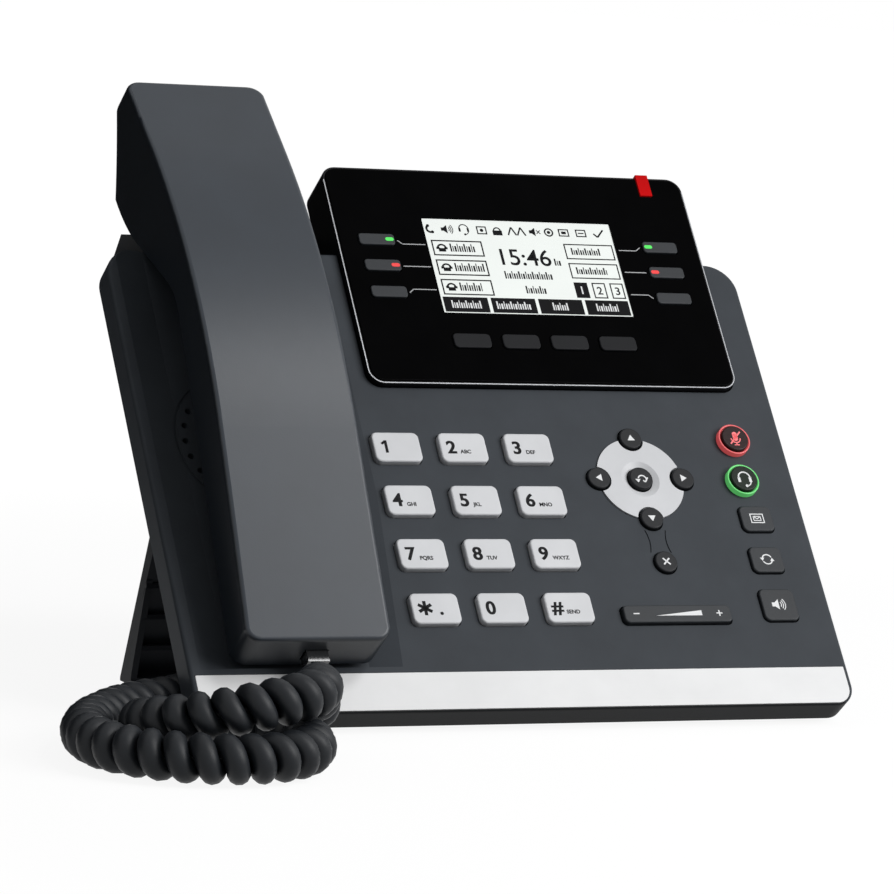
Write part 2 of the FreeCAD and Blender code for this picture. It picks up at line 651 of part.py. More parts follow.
def mats_and_boards():
    main = block(*MAIN_BOARD, MAT_TOP_W - MAT_THICK, MAT_TOP_W, MAT_R)
    screen = block(*DISPLAY_BOARD, *DISPLAY_MAT_W, MAT_R)
    add("key_mats", Part.Compound([main, screen]))
    main = block(*MAIN_BOARD, BOARD_TOP_W - BOARD_THICK, BOARD_TOP_W)
    screen = block(*DISPLAY_BOARD, DISPLAY_BOARD_W, DISPLAY_BOARD_W + BOARD_THICK)
    add("circuit_boards", Part.Compound([main, screen]))


def loudspeaker():
    u, v = SPEAKER
    rim_w = -TROUGH_DEPTH - WALL - 0.4
    basket = disc(u, v, SPEAKER_R, rim_w - 1.6, rim_w)
    cone = Part.makeCone(MAGNET_R, SPEAKER_R - 2, 5.0, Vec(u, v, rim_w - 6.6))
    magnet = disc(u, v, MAGNET_R, rim_w - 13.0, rim_w - 6.0)
    add("loudspeaker", basket.fuse([cone, magnet]).removeSplitter())


def hook_switch():
    u, v = HOOK
    width, height = HOOK_SIZE
    low, high = v - height / 2, v + height / 2
    profile = ((low, HOOK_LOW_W), (low, HOOK_TOP_LOW_EDGE_W), (high, HOOK_TOP_HIGH_EDGE_W), (high, HOOK_LOW_W))
    stem = side_prism(profile, u - width / 2, u + width / 2)
    flange = centred(u, v, width + 2 * HOOK_FLANGE_OUT, height + 2 * HOOK_FLANGE_OUT, HOOK_LOW_W,
                     HOOK_LOW_W + HOOK_FLANGE)
    add("hook_switch", stem.fuse(flange).removeSplitter())


def jack_places():
    """Each socket in the strip: its middle, its width and its hole, in order from the left."""
    places = [(u, RJ9_WIDTH, RJ9_HOLE) for u in RJ9_PLACES]
    places.append((FILLER_PLACE, FILLER_WIDTH, None))
    places += [(u, RJ45_WIDTH, RJ45_HOLE) for u in RJ45_PLACES]
    places.append((POWER_PLACE, POWER_WIDTH, POWER_HOLE))
    return places


def socket_walls(u, width, hole):
    """A socket as its back block and the four walls round its hole."""
    left, right = u - width / 2, u + width / 2
    low, high = JACK_V - JACK_HEIGHT / 2, JACK_V + JACK_HEIGHT / 2
    hole_left, hole_right = u - hole[0] / 2, u + hole[0] / 2
    hole_low, hole_high = JACK_V - hole[1] / 2, JACK_V + hole[1] / 2
    floor_w = BACK_W + hole[2]
    return [
        block(left, right, low, high, floor_w, BACK_W + JACK_DEPTH),
        block(left, right, low, hole_low, BACK_W, floor_w),
        block(left, right, hole_high, high, BACK_W, floor_w),
        block(left, hole_left, hole_low, hole_high, BACK_W, floor_w),
        block(hole_right, right, hole_low, hole_high, BACK_W, floor_w),
    ]


def rear_jacks():
    jacks = []
    for u, width, hole in jack_places():
        if hole:
            jacks += socket_walls(u, width, hole)
        else:
            jacks.append(centred(u, JACK_V, width, JACK_HEIGHT, BACK_W, BACK_W + JACK_DEPTH))
    add("rear_jacks", Part.Compound(jacks))


def case_screws():
    screws = []
    for u, v in SCREWS:
        head = disc(u, v, SCREW_HEAD_R, SCREW_HEAD_LOW_W, SCREW_HEAD_TOP_W)
        slot = centred(u, v, 3.6, 0.9, SCREW_HEAD_LOW_W - 1, SCREW_HEAD_LOW_W + 0.9)
        cross = centred(u, v, 0.9, 3.6, SCREW_HEAD_LOW_W - 1, SCREW_HEAD_LOW_W + 0.9)
        shank = disc(u, v, SCREW_R, SCREW_HEAD_TOP_W, SCREW_TIP_W)
        screws.append(head.cut([slot, cross]).fuse(shank).removeSplitter())
    add("case_screws", Part.Compound(screws))


# Stand and feet, drawn in the phone's own frame

def hinge_line():
    return FACE.multVec(Vec(0, HINGE_V, HINGE_W))


def level_prism(points, left, right):
    """Prism across the phone from a closed outline of (y, z) points."""
    loop = [Vec(left, y, z) for y, z in points]
    return Part.Face(Part.makePolygon(loop + loop[:1])).extrude(Vec(right - left, 0, 0))


def stand():
    hinge = hinge_line()
    y, z = hinge.y, hinge.z
    half = STAND_HALF_WIDTH
    back_low = (FOOT_HIGH_Y, FOOT_THICK / 2)
    front_low = (FOOT_HIGH_Y - STAND_THICK, FOOT_THICK + 0.8)
    plate = level_prism(((y - 1.0, z - 2.6), (y + 2.4, z + 2.0), back_low, (FOOT_HIGH_Y, 0), (FOOT_LOW_Y, 0),
                         (FOOT_LOW_Y, FOOT_THICK), front_low), -half, half)
    barrel_start = Vec(-half + BARREL_INSET, y, z)
    barrel = Part.makeCylinder(BARREL_R, 2 * (half - BARREL_INSET), barrel_start, Vec(1, 0, 0))
    form = plate.fuse(barrel)
    rib = ((front_low[0] + 1, front_low[1]), (FOOT_LOW_Y, FOOT_THICK), (FOOT_LOW_Y - 0.5, 2 * FOOT_THICK),
           (y + BARREL_R, z - 12.0))
    extras = []
    for index in range(STAND_RIBS):
        left = -half + (2 * half - RIB_THICK) * index / (STAND_RIBS - 1)
        extras.append(level_prism(rib, left, left + RIB_THICK))
    for height in STAND_BARS:
        share = (height - front_low[1]) / (z - 2.6 - front_low[1])
        at = front_low[0] + (y - 1.0 - front_low[0]) * share
        out = at - BAR_REACH * (1 - share)
        top = height + BAR_THICK
        extras.append(level_prism(((at + 1.5, height), (out, height), (out, top), (at + 1, top)), -half, half))
    form = form.fuse(extras)
    for u in LUG_PLACES:
        notch = Part.makeCylinder(LUG_R + 1.2, LUG_NOTCH, Vec(u - LUG_NOTCH / 2, y, z), Vec(1, 0, 0))
        pin = Part.makeCylinder(PIN_R, LUG_NOTCH + 2, Vec(u - LUG_NOTCH / 2 - 1, y, z), Vec(1, 0, 0))
        form = form.cut(notch).fuse(pin)
    add("stand", form.removeSplitter(), standing=True)


def rubber_feet():
    pads = []
    for x in FEET_X:
        pads.append(block(x, x + FOOT_LENGTH, FOOT_Y[0], FOOT_Y[1], 0, UNDERSIDE_Z, 4.0))
    add("rubber_feet", Part.Compound(pads), standing=True)


# Handset

def handset_form(inset):
    """Handset drawn in by an inset: its side profile, cut to its rounded plan."""
    low = HANDSET_LOW + inset
    high = HANDSET_HIGH - inset

    def at(v, w):
        return Vec(HANDSET_MID, v, w)

    def upper(point):
        return at(point[0], point[1] - inset)

    def lower(point):
        return at(point[0], point[1] + inset)

    chin = lower((low, CHIN_W))
    brow = upper((low, TOP_START_W))
    tip = upper((high, TIP_W))
    ear_end = lower((high, EAR_END_W))
    edges = [
        Part.LineSegment(brow, upper(TOP_ARC[0])),
        Part.Arc(upper(TOP_ARC[0]), upper(TOP_ARC[1]), upper(TOP_ARC[2])),
        Part.LineSegment(upper(TOP_ARC[2]), tip),
        Part.LineSegment(tip, ear_end),
        Part.Arc(ear_end, lower(EAR_BACK), lower(EAR_LOW)),
        Part.Arc(lower(EAR_LOW), lower(EAR_FRONT), lower(NECK_LOW)),
        Part.LineSegment(lower(NECK_LOW), lower(NECK_HIGH)),
        Part.Arc(lower(NECK_HIGH), lower(GRIP_BEND), lower(GRIP_END)),
        Part.LineSegment(lower(GRIP_END), lower(GRIP_START)),
        Part.LineSegment(lower(GRIP_START), chin),
        Part.LineSegment(chin, brow),
    ]
    profile = Part.Face(Part.Wire([e.toShape() for e in edges]))
    profile.translate(Vec(-40, 0, 0))
    body = profile.extrude(Vec(80, 0, 0))
    half = HANDSET_HALF - inset
    middle = (HANDSET_LOW + HANDSET_HIGH) / 2
    low_r = HANDSET_LOW_R - inset
    high_r = HANDSET_HIGH_R - inset
    plan = block(HANDSET_MID - half, HANDSET_MID + half, low, high, -30, 40, (low_r, low_r, high_r, high_r))
    waist_r = (HANDSET_SWEEP ** 2 + HANDSET_WAIST ** 2) / (2 * HANDSET_WAIST)
    for side in (-1, 1):
        centre = Vec(HANDSET_MID + side * (half - HANDSET_WAIST + waist_r), middle, -35)
        hollow = Part.makeCylinder(waist_r, 80, centre)
        hollow.rotate(centre, Vec(0, 0, 1), 90)
        plan = plan.cut(hollow)
    return body.common(plan)


def top_edges(form):
    """Edges round the handset's outer face, without the seams that run across it."""
    found = []
    for edge in form.Edges:
        points = edge.discretize(5)
        on_rim = all(p.z > (TIP_W - 1 if p.y > EAR_LOW[0] else GRIP_END[1] + 0.4) for p in points)
        across = max(p.x for p in points) - min(p.x for p in points)
        seam = across > HANDSET_HALF and HANDSET_LOW + 1 < points[2].y < HANDSET_HIGH - 1
        if on_rim and not seam:
            found.append(edge)
    return found


def handset():
    form = handset_form(0)
    form = form.makeFillet(HANDSET_EDGE_R, top_edges(form))
    space = handset_form(HANDSET_WALL)
    mouth = disc(MOUTH[0], MOUTH[1], MOUTH_R, MOUTH_LOW_W, 5)
    form = form.fuse(rounded_rim(mouth, MOUTH_LOW_W, 1.5)).cut(space)
    below = side_prism(PARTING, HANDSET_MID - 40, HANDSET_MID + 40)
    slot = block(*JACK_SLOT)
    holes = ring_of_holes(EAR, EAR_RINGS, EAR_HOLE_R, -20, -5)
    holes += ring_of_holes((MOUTH[0], MIC_V), ((2.6, 6),), 0.7, -5, 5)
    add("handset_outer_shell", form.cut(below).cut(slot).removeSplitter())
    add("handset_inner_shell", form.common(below).cut(slot).cut(holes).removeSplitter())
    add("handset_receiver", disc(EAR[0], EAR[1], RECEIVER_R, *RECEIVER_W))
    add("handset_microphone", disc(MOUTH[0], MIC_V, MIC_R, *MIC_W))
    add("handset_plug", block(*PLUG))


# Cord

def lead_tube(name, route):
    """Round lead along straight runs joined by tangent arcs, each as large as its runs allow."""
    points = [Vec(*p) for p in route]
    edges = []
    start = points[0]
    length = 0.0
    radii = []
    for before, corner, after in zip(points, points[1:], points[2:]):
        back = (before - corner).normalize()
        ahead = (after - corner).normalize()
        half_turn = (math.pi - back.getAngle(ahead)) / 2
        reach = 0.45 * min((before - corner).Length, (after - corner).Length)
        radius = reach / math.tan(half_turn)
        radii.append(round(radius, 1))
        enter = corner + back * reach
        leave = corner + ahead * reach
        inward = (back + ahead).normalize()
        middle = corner + inward * (radius / math.cos(half_turn) - radius)
        edges.append(Part.LineSegment(start, enter).toShape())
        edges.append(Part.Arc(enter, middle, leave).toShape())
        length += (enter - start).Length + 2 * half_turn * radius
        start = leave
    edges.append(Part.LineSegment(start, points[-1]).toShape())
    length += (points[-1] - start).Length
    path = Part.Wire(edges)
    section = Part.Wire(Part.makeCircle(LEAD_D / 2, points[0], points[1] - points[0]))
    tube = path.makePipeShell([section], True, False)
    print(name, "radii", radii, "length", round(length, 1), "volume share",
          round(tube.Volume / (math.pi * LEAD_D ** 2 / 4 * length), 4))
    add(name, tube, standing=True)


def axis_points(route, per_span=24):
    """Points along the smooth axis that touches the middle of each run of the route."""
    points = [Vec(*p) for p in route]
    joints = [points[0]]
    for index in range(1, len(points) - 2):
        joints.append((points[index] + points[index + 1]) * 0.5)
    joints.append(points[-1])
    line = []
    for index in range(len(joints) - 1):
        a, b, c = joints[index], points[index + 1], joints[index + 1]
        for step in range(per_span):
            t = step / per_span
            line.append(a * ((1 - t) ** 2) + b * (2 * t * (1 - t)) + c * (t * t))
    line.append(joints[-1])
    return line


class Axis:
    """The curl's axis by length along it, with a frame that doesn't twist."""

    def __init__(self, route):
        self.line = axis_points(route)
        self.along = [0.0]
        for a, b in zip(self.line, self.line[1:]):
            self.along.append(self.along[-1] + (b - a).Length)
        self.length = self.along[-1]
        self.sides = []
        side = Vec(0, 0, 1)
        for index in range(len(self.line)):
            ahead = self.direction(index)
            side = (side - ahead * side.dot(ahead)).normalize()
            self.sides.append(side)

    def direction(self, index):
        low = max(index - 1, 0)
        high = min(index + 1, len(self.line) - 1)
        return (self.line[high] - self.line[low]).normalize()

    def at(self, distance):
        """Place, direction and side at a distance along the axis."""
        distance = min(max(distance, 0.0), self.length)
        index = 0
        low, high = 0, len(self.along) - 2
        while low < high:
            index = (low + high + 1) // 2
            if self.along[index] <= distance:
                low = index
            else:
                high = index - 1
        share = (distance - self.along[low]) / (self.along[low + 1] - self.along[low])
        place = self.line[low] * (1 - share) + self.line[low + 1] * share
        ahead = (self.direction(low) * (1 - share) + self.direction(low + 1) * share).normalize()
        side = self.sides[low] * (1 - share) + self.sides[low + 1] * share
        side = (side - ahead * side.dot(ahead)).normalize()
        return place, ahead, side


def curl_point(axis, distance):
    """Point of the curl: a helix on the axis that opens out of it and closes onto it at the ends."""
    place, ahead, side = axis.at(distance)
    share = (min(distance, axis.length - distance) - CURL_TUBE_D) / CURL_RUN_IN
    share = min(max(share, 0.0), 1.0)
    radius = CURL_R * share * share * (3 - 2 * share)
    angle = 2 * math.pi * distance / CURL_PITCH
    return place + side * (radius * math.cos(angle)) + ahead.cross(side) * (radius * math.sin(angle))


def half_arc(start, control, stop):
    """Arc that leaves start and reaches stop along the two equal legs through control."""
    chord = (start + stop) * 0.5
    half = (stop - start).Length / 2
    leg = (control - start).Length
    rise = (control - chord).Length
    if rise < 1e-4 * leg:
        return Part.LineSegment(start, stop).toShape()
    radius = half * leg / rise
    sagitta = radius - math.sqrt(max(radius * radius - half * half, 0.0))
    return Part.Arc(start, chord + (control - chord) * (sagitta / rise), stop).toShape()


def biarc(start, start_way, stop, stop_way):
    """Two tangent arcs from one point and direction to another."""
    span = stop - start
    both = start_way + stop_way
    spread = 2 * (1 - start_way.dot(stop_way))
    run = span.dot(both)
    if spread < 1e-9:
        reach = span.dot(span) / (4 * span.dot(stop_way))
    else:
        reach = (-run + math.sqrt(run * run + spread * span.dot(span))) / spread
    first = start + start_way * reach
    last = stop - stop_way * reach
    middle = (first + last) * 0.5
    return [half_arc(start, first, middle), half_arc(middle, last, stop)]


def curly_cord():
    axis = Axis(CURL_ROUTE)
    end_run = CURL_TUBE_D
    steps = int(round((axis.length - 2 * end_run) / CURL_PITCH * STEPS_PER_CURL))
    small = 0.01
    places = []
    for index in range(steps + 1):
        distance = end_run + (axis.length - 2 * end_run) * index / steps
        place = curl_point(axis, distance)
        way = (curl_point(axis, distance + small) - curl_point(axis, distance - small)).normalize()
        places.append((place, way))
    first, last = places[0], places[-1]
    edges = [Part.LineSegment(axis.line[0], first[0]).toShape()]
    for (start, start_way), (stop, stop_way) in zip(places, places[1:]):
        edges += biarc(start, start_way, stop, stop_way)
    edges.append(Part.LineSegment(last[0], axis.line[-1]).toShape())
    path = Part.Wire(edges)
    section = Part.Wire(Part.makeCircle(CURL_TUBE_D / 2, axis.line[0], first[0] - axis.line[0]))
    tube = path.makePipeShell([section], True, False)
    report_gap(axis)
    print("curls", round(axis.length / CURL_PITCH, 1), "tube length", round(path.Length, 1), "volume share",
          round(tube.Volume / (math.pi * CURL_TUBE_D ** 2 / 4 * path.Length), 4), "valid", tube.isValid())
    add("curly_cord", tube, standing=True)


def report_gap(axis):
    """Print the least gap between any two stretches of the curl's own tube."""
    step = 0.12
    count = int(axis.length / step)
    line = [curl_point(axis, index * step) for index in range(count + 1)]
    run = [0.0]
    for a, b in zip(line, line[1:]):
        run.append(run[-1] + (b - a).Length)
    cell = CURL_TUBE_D + 1.0
    grid = {}
    least = 99.0
    for index, p in enumerate(line):
        key = (int(p.x // cell), int(p.y // cell), int(p.z // cell))
        for dx in (-1, 0, 1):
            for dy in (-1, 0, 1):
                for dz in (-1, 0, 1):
                    for other in grid.get((key[0] + dx, key[1] + dy, key[2] + dz), ()):
                        if run[index] - run[other] > 2.5 * CURL_TUBE_D:
                            least = min(least, (p - line[other]).Length)
        grid.setdefault(key, []).append(index)
    print("least gap of the curl to itself", round(least - CURL_TUBE_D, 3))


def base_plug():
    width, height = BASE_PLUG_SIZE
    add("base_plug", centred(RJ9_PLACES[0], JACK_V, width, height, *BASE_PLUG_W))


def main():
    face_holes = dial_keys() + navigation_keys() + [nav_plate()] + link_grooves()
    face_holes += lit_keys() + square_keys() + volume_rocker()
    window_holes = screen_keys()
    front_housing(face_holes)
    rear_housing()
    trim_strip()
    display_housing()
    display_window(window_holes)
    display_inside()
    mats_and_boards()
    loudspeaker()
    hook_switch()
    rear_jacks()
    case_screws()
    stand()
    rubber_feet()
    handset()
    lead_tube("handset_lead", HANDSET_LEAD_ROUTE)
    curly_cord()
    lead_tube("base_lead", BASE_LEAD_ROUTE)
    base_plug()
    os.makedirs("parts", exist_ok=True)
    for name, shape in PARTS.items():
        shape.exportStep("parts/%s.step" % name)
    print(len(PARTS), "pieces")


main()
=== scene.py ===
"""Looks of the desk IP phone: finishes, prints, screen content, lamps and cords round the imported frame.

Prints and lamps are drawn in the face frame, in millimetres: u to the right, v up the sloping face from its
lower trim line, w out of the face. face() takes them to the phone's own frame in metres.
"""
import math

import bmesh
import bpy
from mathutils import Matrix, Vector


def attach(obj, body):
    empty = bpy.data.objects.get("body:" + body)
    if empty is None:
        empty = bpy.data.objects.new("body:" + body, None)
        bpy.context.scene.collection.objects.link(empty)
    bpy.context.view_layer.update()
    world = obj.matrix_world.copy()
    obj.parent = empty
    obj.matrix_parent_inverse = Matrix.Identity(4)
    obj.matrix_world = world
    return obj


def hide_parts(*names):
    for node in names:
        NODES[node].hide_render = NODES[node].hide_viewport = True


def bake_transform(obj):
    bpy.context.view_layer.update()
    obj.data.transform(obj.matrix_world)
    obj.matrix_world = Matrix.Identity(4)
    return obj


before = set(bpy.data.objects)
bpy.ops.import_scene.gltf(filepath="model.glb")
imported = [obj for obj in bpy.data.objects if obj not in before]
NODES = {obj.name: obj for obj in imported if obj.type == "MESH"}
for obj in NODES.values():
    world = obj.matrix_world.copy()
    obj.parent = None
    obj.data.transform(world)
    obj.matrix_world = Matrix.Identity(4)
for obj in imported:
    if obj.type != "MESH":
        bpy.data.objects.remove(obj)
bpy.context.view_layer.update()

MM = 0.001

# Face frame
TILT = math.radians(51.2)
FACE_FOOT = Vector((0, -57.38, 16.5))
FACE_UP = Vector((0, math.cos(TILT), math.sin(TILT)))
FACE_OUT = Vector((0, -math.sin(TILT), math.cos(TILT)))

# Camera, fitted to the photograph
CAMERA_TURN = math.radians(24.0)
CAMERA_DIP = math.radians(6.0)
CAMERA_ROLL = math.radians(3.196)
CAMERA_PLACE = Vector((-0.5332, -1.18638, 0.2122))
CAMERA_LENS = 173.5
CAMERA_SENSOR = 36.0

# Places and top heights on the face, as in the part
DIAL_COLUMNS = (-26.1, -4.45, 17.2)
DIAL_ROWS = (76.2, 57.65, 39.1, 20.5)
DIAL_KEYS = (("1", ""), ("2", "ABC"), ("3", "DEF"), ("4", "GHI"), ("5", "JKL"), ("6", "MNO"), ("7", "PQRS"),
             ("8", "TUV"), ("9", "WXYZ"), ("star", ""), ("0", ""), ("hash", "SEND"))
DIAL_TOP = 1.7
LINE_COLUMNS = {"left": -17.0, "right": 80.4}
LINE_ROWS = (150.9, 141.3, 131.5)
SCREEN_KEY_TOP = 3.1
NAV = (52.9, 66.1)
NAV_RADIUS = 14.3
ROUND_TOP = 1.2
CANCEL = (53.8, 36.5)
MUTE = (88.3, 80.0)
HEADSET = (87.5, 65.4)
LIT_TOP = 2.6
MESSAGE = (88.9, 51.8)
REDIAL = (88.4, 37.2)
SPEAKER = (88.2, 21.3)
SQUARE_TOP = 1.0
ROCKER = (52.75, 18.2)
ROCKER_TOP = 1.5
DISPLAY = (-30.0, 94.6, 98.5, 178.5)
DISPLAY_CORNER = 5.0
STRIP_LOW = -12.2
RIM_TOP = 2.1
PANE_TOP = 2.5
LCD = (0.0, 65.0, 124.5, 160.0)
LCD_TOP = 2.1
INK = 0.04
INK_ROOT = 0.1
CAPITAL_SHARE = 0.7

# Cords: routes of the axis in the phone's frame, millimetres
LEAD_DIAMETER = 2.7
CURL_TUBE_DIAMETER = 6.6
CURL_RADIUS = 3.7
CURL_PITCH = 7.0
CURL_STRAIGHT = 4.5
CURL_RUN_IN = 9.0
STEPS_PER_CURL = 18
TUBE_SIDES = 12
LEAD_STEPS = 12
CURL_ROUTE_STEPS = 16
HANDSET_LEAD_ROUTE = ((-70.0, -63.7, 19.5), (-71.2, -70.4, 10.8), (-75.2, -77.9, 10.6))
CURL_ROUTE = (
    (-75.5, -78.5, 10.6), (-79.3, -86.3, 11.8), (-82.6, -95.5, 18.8), (-86.6, -105.9, 21.6),
    (-91.1, -116.2, 21.6), (-100.3, -123.4, 21.3), (-111.7, -125.6, 19.6), (-122.9, -122.2, 17.0),
    (-131.3, -114.1, 14.4), (-134.8, -103.0, 12.0), (-132.9, -92.0, 9.6), (-127.1, -83.6, 7.8),
    (-117.9, -80.0, 7.0), (-107.2, -82.0, 7.0), (-97.2, -88.8, 7.0), (-91.1, -99.6, 7.0),
    (-90.0, -112.0, 7.0), (-95.3, -123.8, 7.0), (-105.1, -131.8, 7.0), (-117.3, -134.2, 7.0),
    (-130.4, -131.5, 7.0), (-142.8, -122.5, 7.0), (-149.7, -108.6, 7.0), (-149.4, -92.4, 7.0),
    (-143.0, -76.8, 7.0), (-133.3, -63.1, 7.0), (-122.9, -52.0, 7.0), (-111.3, -44.5, 7.0),
    (-100.0, -37.5, 7.0), (-89.0, -28.8, 7.0),
)
BASE_LEAD_ROUTE = (
    (-62.0, -6.4, 21.8), (-62.2, 0.2, 16.5), (-66.5, 5.5, 10.6), (-74.0, 5.5, 5.2), (-79.0, -1.0, 1.7),
    (-78.5, -12.0, 1.7), (-80.8, -22.3, 7.0), (-88.7, -28.55, 7.0),
)


def face(u, v, w):
    return (FACE_FOOT + Vector((u, 0, 0)) + FACE_UP * v + FACE_OUT * w) * MM


# Finishes
TONE_STOPS = (0.3, 0.7)
RELIEF_DEPTH = 0.0002
# Painted shade on the base below the trim strip: width of the fade and share of the colour kept
LOW_SHADE_EDGE = 0.0002
LOW_SHADE_SHARE = 0.12
# Painted shade on the handset's sides: facing values of the fade and share of the colour kept
SIDE_SHADE_TURN = (0.6, 0.85)
SIDE_SHADE_SHARE = 0.55
DOT_PITCH = 0.00034
DOT_GAP = 0.00003
DOT_TINTS = {"Color1": (1, 1, 1, 1), "Color2": (0.985, 0.985, 0.985, 1), "Mortar": (0.9, 0.91, 0.9, 1)}
RING_GREEN = (0.10, 0.50, 0.13)
RING_RED = (0.55, 0.075, 0.08)


def new_node(tree, kind, **values):
    node = tree.nodes.new(kind)
    for name, value in values.items():
        node.inputs[name.replace("_", " ")].default_value = value
    return node


def finish(name, dark, light, rough, mottle=60.0, grain=2500.0, bump=0.05, spread=0.06, stretch=None,
           **sockets):
    """Two near tones by a soft noise, roughness by the same noise and a fine grain in relief."""
    result = bpy.data.materials.new(name)
    result.use_nodes = True
    tree = result.node_tree
    shader = tree.nodes["Principled BSDF"]
    coords = tree.nodes.new("ShaderNodeTexCoord").outputs["Object"]
    if stretch:
        scaled = new_node(tree, "ShaderNodeMapping", Scale=stretch)
        tree.links.new(coords, scaled.inputs["Vector"])
        coords = scaled.outputs["Vector"]
    soft = new_node(tree, "ShaderNodeTexNoise", Scale=mottle, Detail=5.0, Roughness=0.55)
    fine = new_node(tree, "ShaderNodeTexNoise", Scale=grain, Detail=2.0, Roughness=0.6)
    tones = tree.nodes.new("ShaderNodeValToRGB")
    for stop, where, colour in zip(tones.color_ramp.elements, TONE_STOPS, (dark, light)):
        stop.position = where
        stop.color = (*colour, 1)
    shine = new_node(tree, "ShaderNodeMapRange", To_Min=rough - spread, To_Max=rough + spread)
    relief = new_node(tree, "ShaderNodeBump", Strength=bump, Distance=RELIEF_DEPTH)
    for noise in (soft, fine):
        tree.links.new(coords, noise.inputs["Vector"])
    tree.links.new(soft.outputs["Fac"], tones.inputs["Fac"])
    tree.links.new(tones.outputs["Color"], shader.inputs["Base Color"])
    tree.links.new(fine.outputs["Fac"], shine.inputs["Value"])
    tree.links.new(shine.outputs["Result"], shader.inputs["Roughness"])
    tree.links.new(fine.outputs["Fac"], relief.inputs["Height"])
    tree.links.new(relief.outputs["Normal"], shader.inputs["Normal"])
    for socket, value in sockets.items():
        shader.inputs[socket.replace("_", " ")].default_value = value
    return result


def near(colour, share):
    return tuple(channel * share for channel in colour)


def tone(name, colour, rough, contrast=0.1, **more):
    return finish(name, near(colour, 1 - contrast), near(colour, 1 + contrast), rough, **more)


base_plastic = tone("slate_plastic", (0.040, 0.046, 0.054), 0.56, 0.1, bump=0.12, Specular_IOR_Level=0.14)
rear_plastic = tone("rear_plastic", (0.018, 0.020, 0.024), 0.52, 0.1, bump=0.12, Specular_IOR_Level=0.08)
handset_plastic = tone("handset_plastic", (0.021, 0.028, 0.038), 0.36, 0.08, bump=0.08,
                       Specular_IOR_Level=0.4)
silver_paint = tone("silver_paint", (0.86, 0.865, 0.87), 0.4, 0.03, grain=4000.0, bump=0.06,
                    Specular_IOR_Level=0.25)
plate_silver = tone("plate_silver", (0.62, 0.63, 0.65), 0.36, 0.05, grain=4000.0, bump=0.05,
                    Specular_IOR_Level=0.3)
key_silver = tone("key_silver", (0.67, 0.68, 0.70), 0.38, 0.05, grain=3600.0, bump=0.1,
                  Specular_IOR_Level=0.3)
black_plastic = tone("black_plastic", (0.005, 0.005, 0.006), 0.3, 0.15, bump=0.04, Specular_IOR_Level=0.12)
black_pane = tone("black_pane", (0.0015, 0.0015, 0.0017), 0.09, 0.2, bump=0.01, spread=0.02,
                  Specular_IOR_Level=0.01)
dark_key = tone("dark_key", (0.024, 0.027, 0.031), 0.42, 0.1, bump=0.12, Specular_IOR_Level=0.2)
black_key = tone("black_key", (0.009, 0.010, 0.012), 0.4, 0.12, bump=0.1, Specular_IOR_Level=0.15)
soft_black = tone("soft_black", (0.007, 0.0075, 0.009), 0.45, 0.12, bump=0.1, Specular_IOR_Level=0.1)
mute_cap = tone("mute_cap", (0.016, 0.004, 0.004), 0.3, 0.15, bump=0.05, Specular_IOR_Level=0.15)
headset_cap = tone("headset_cap", (0.004, 0.011, 0.005), 0.3, 0.15, bump=0.05, Specular_IOR_Level=0.15)
red_lamp = tone("red_lamp", (0.50, 0.004, 0.005), 0.3, 0.12, bump=0.03, Specular_IOR_Level=0.03,
                Emission_Color=(0.8, 0.004, 0.005, 1), Emission_Strength=0.1)
silicone = tone("silicone", (0.42, 0.42, 0.44), 0.7, 0.06, bump=0.2)
board_green = tone("board_green", (0.02, 0.12, 0.05), 0.42, 0.3, mottle=300.0, bump=0.1)
speaker_black = tone("speaker_black", (0.02, 0.02, 0.021), 0.5, 0.2, bump=0.2)
socket_black = tone("socket_black", (0.012, 0.012, 0.013), 0.45, 0.15, bump=0.1)
steel = tone("zinc_steel", (0.52, 0.52, 0.53), 0.33, 0.12, mottle=400.0, bump=0.15,
             stretch=(1, 14, 1), Metallic=1.0)
rubber = tone("foot_rubber", (0.012, 0.012, 0.012), 0.8, 0.2, bump=0.3)
jacket = tone("cord_jacket", (0.011, 0.013, 0.016), 0.48, 0.15, mottle=120.0, bump=0.06,
              Specular_IOR_Level=0.25)
smoky = tone("smoky_plastic", (0.02, 0.021, 0.023), 0.18, 0.15, bump=0.03,
             Coat_Weight=0.4, Coat_Roughness=0.08)
black_ink = tone("black_ink", (0.004, 0.004, 0.005), 0.5, 0.2, bump=0.05, Specular_IOR_Level=0.1)
white_ink = tone("white_ink", (0.80, 0.81, 0.82), 0.5, 0.04, bump=0.05)
leader_ink = tone("leader_ink", (0.42, 0.43, 0.44), 0.5, 0.05, bump=0.05)
rim_silver = tone("rim_silver", (0.40, 0.41, 0.43), 0.28, 0.06, bump=0.04, Metallic=0.3)
pink_ink = tone("pink_ink", (0.75, 0.16, 0.17), 0.45, 0.06, bump=0.05, Emission_Color=(0.9, 0.08, 0.09, 1),
                Emission_Strength=0.25)
green_led = tone("green_led", (0.05, 0.5, 0.07), 0.25, 0.1, bump=0.03, Emission_Color=(0.05, 0.75, 0.08, 1),
                 Emission_Strength=0.55)
red_led = tone("red_led", (0.55, 0.02, 0.02), 0.25, 0.1, bump=0.03, Emission_Color=(0.9, 0.03, 0.03, 1),
               Emission_Strength=0.45)
lcd_ink = tone("lcd_ink", (0.005, 0.005, 0.006), 0.5, 0.2, bump=0.02, Specular_IOR_Level=0.05)


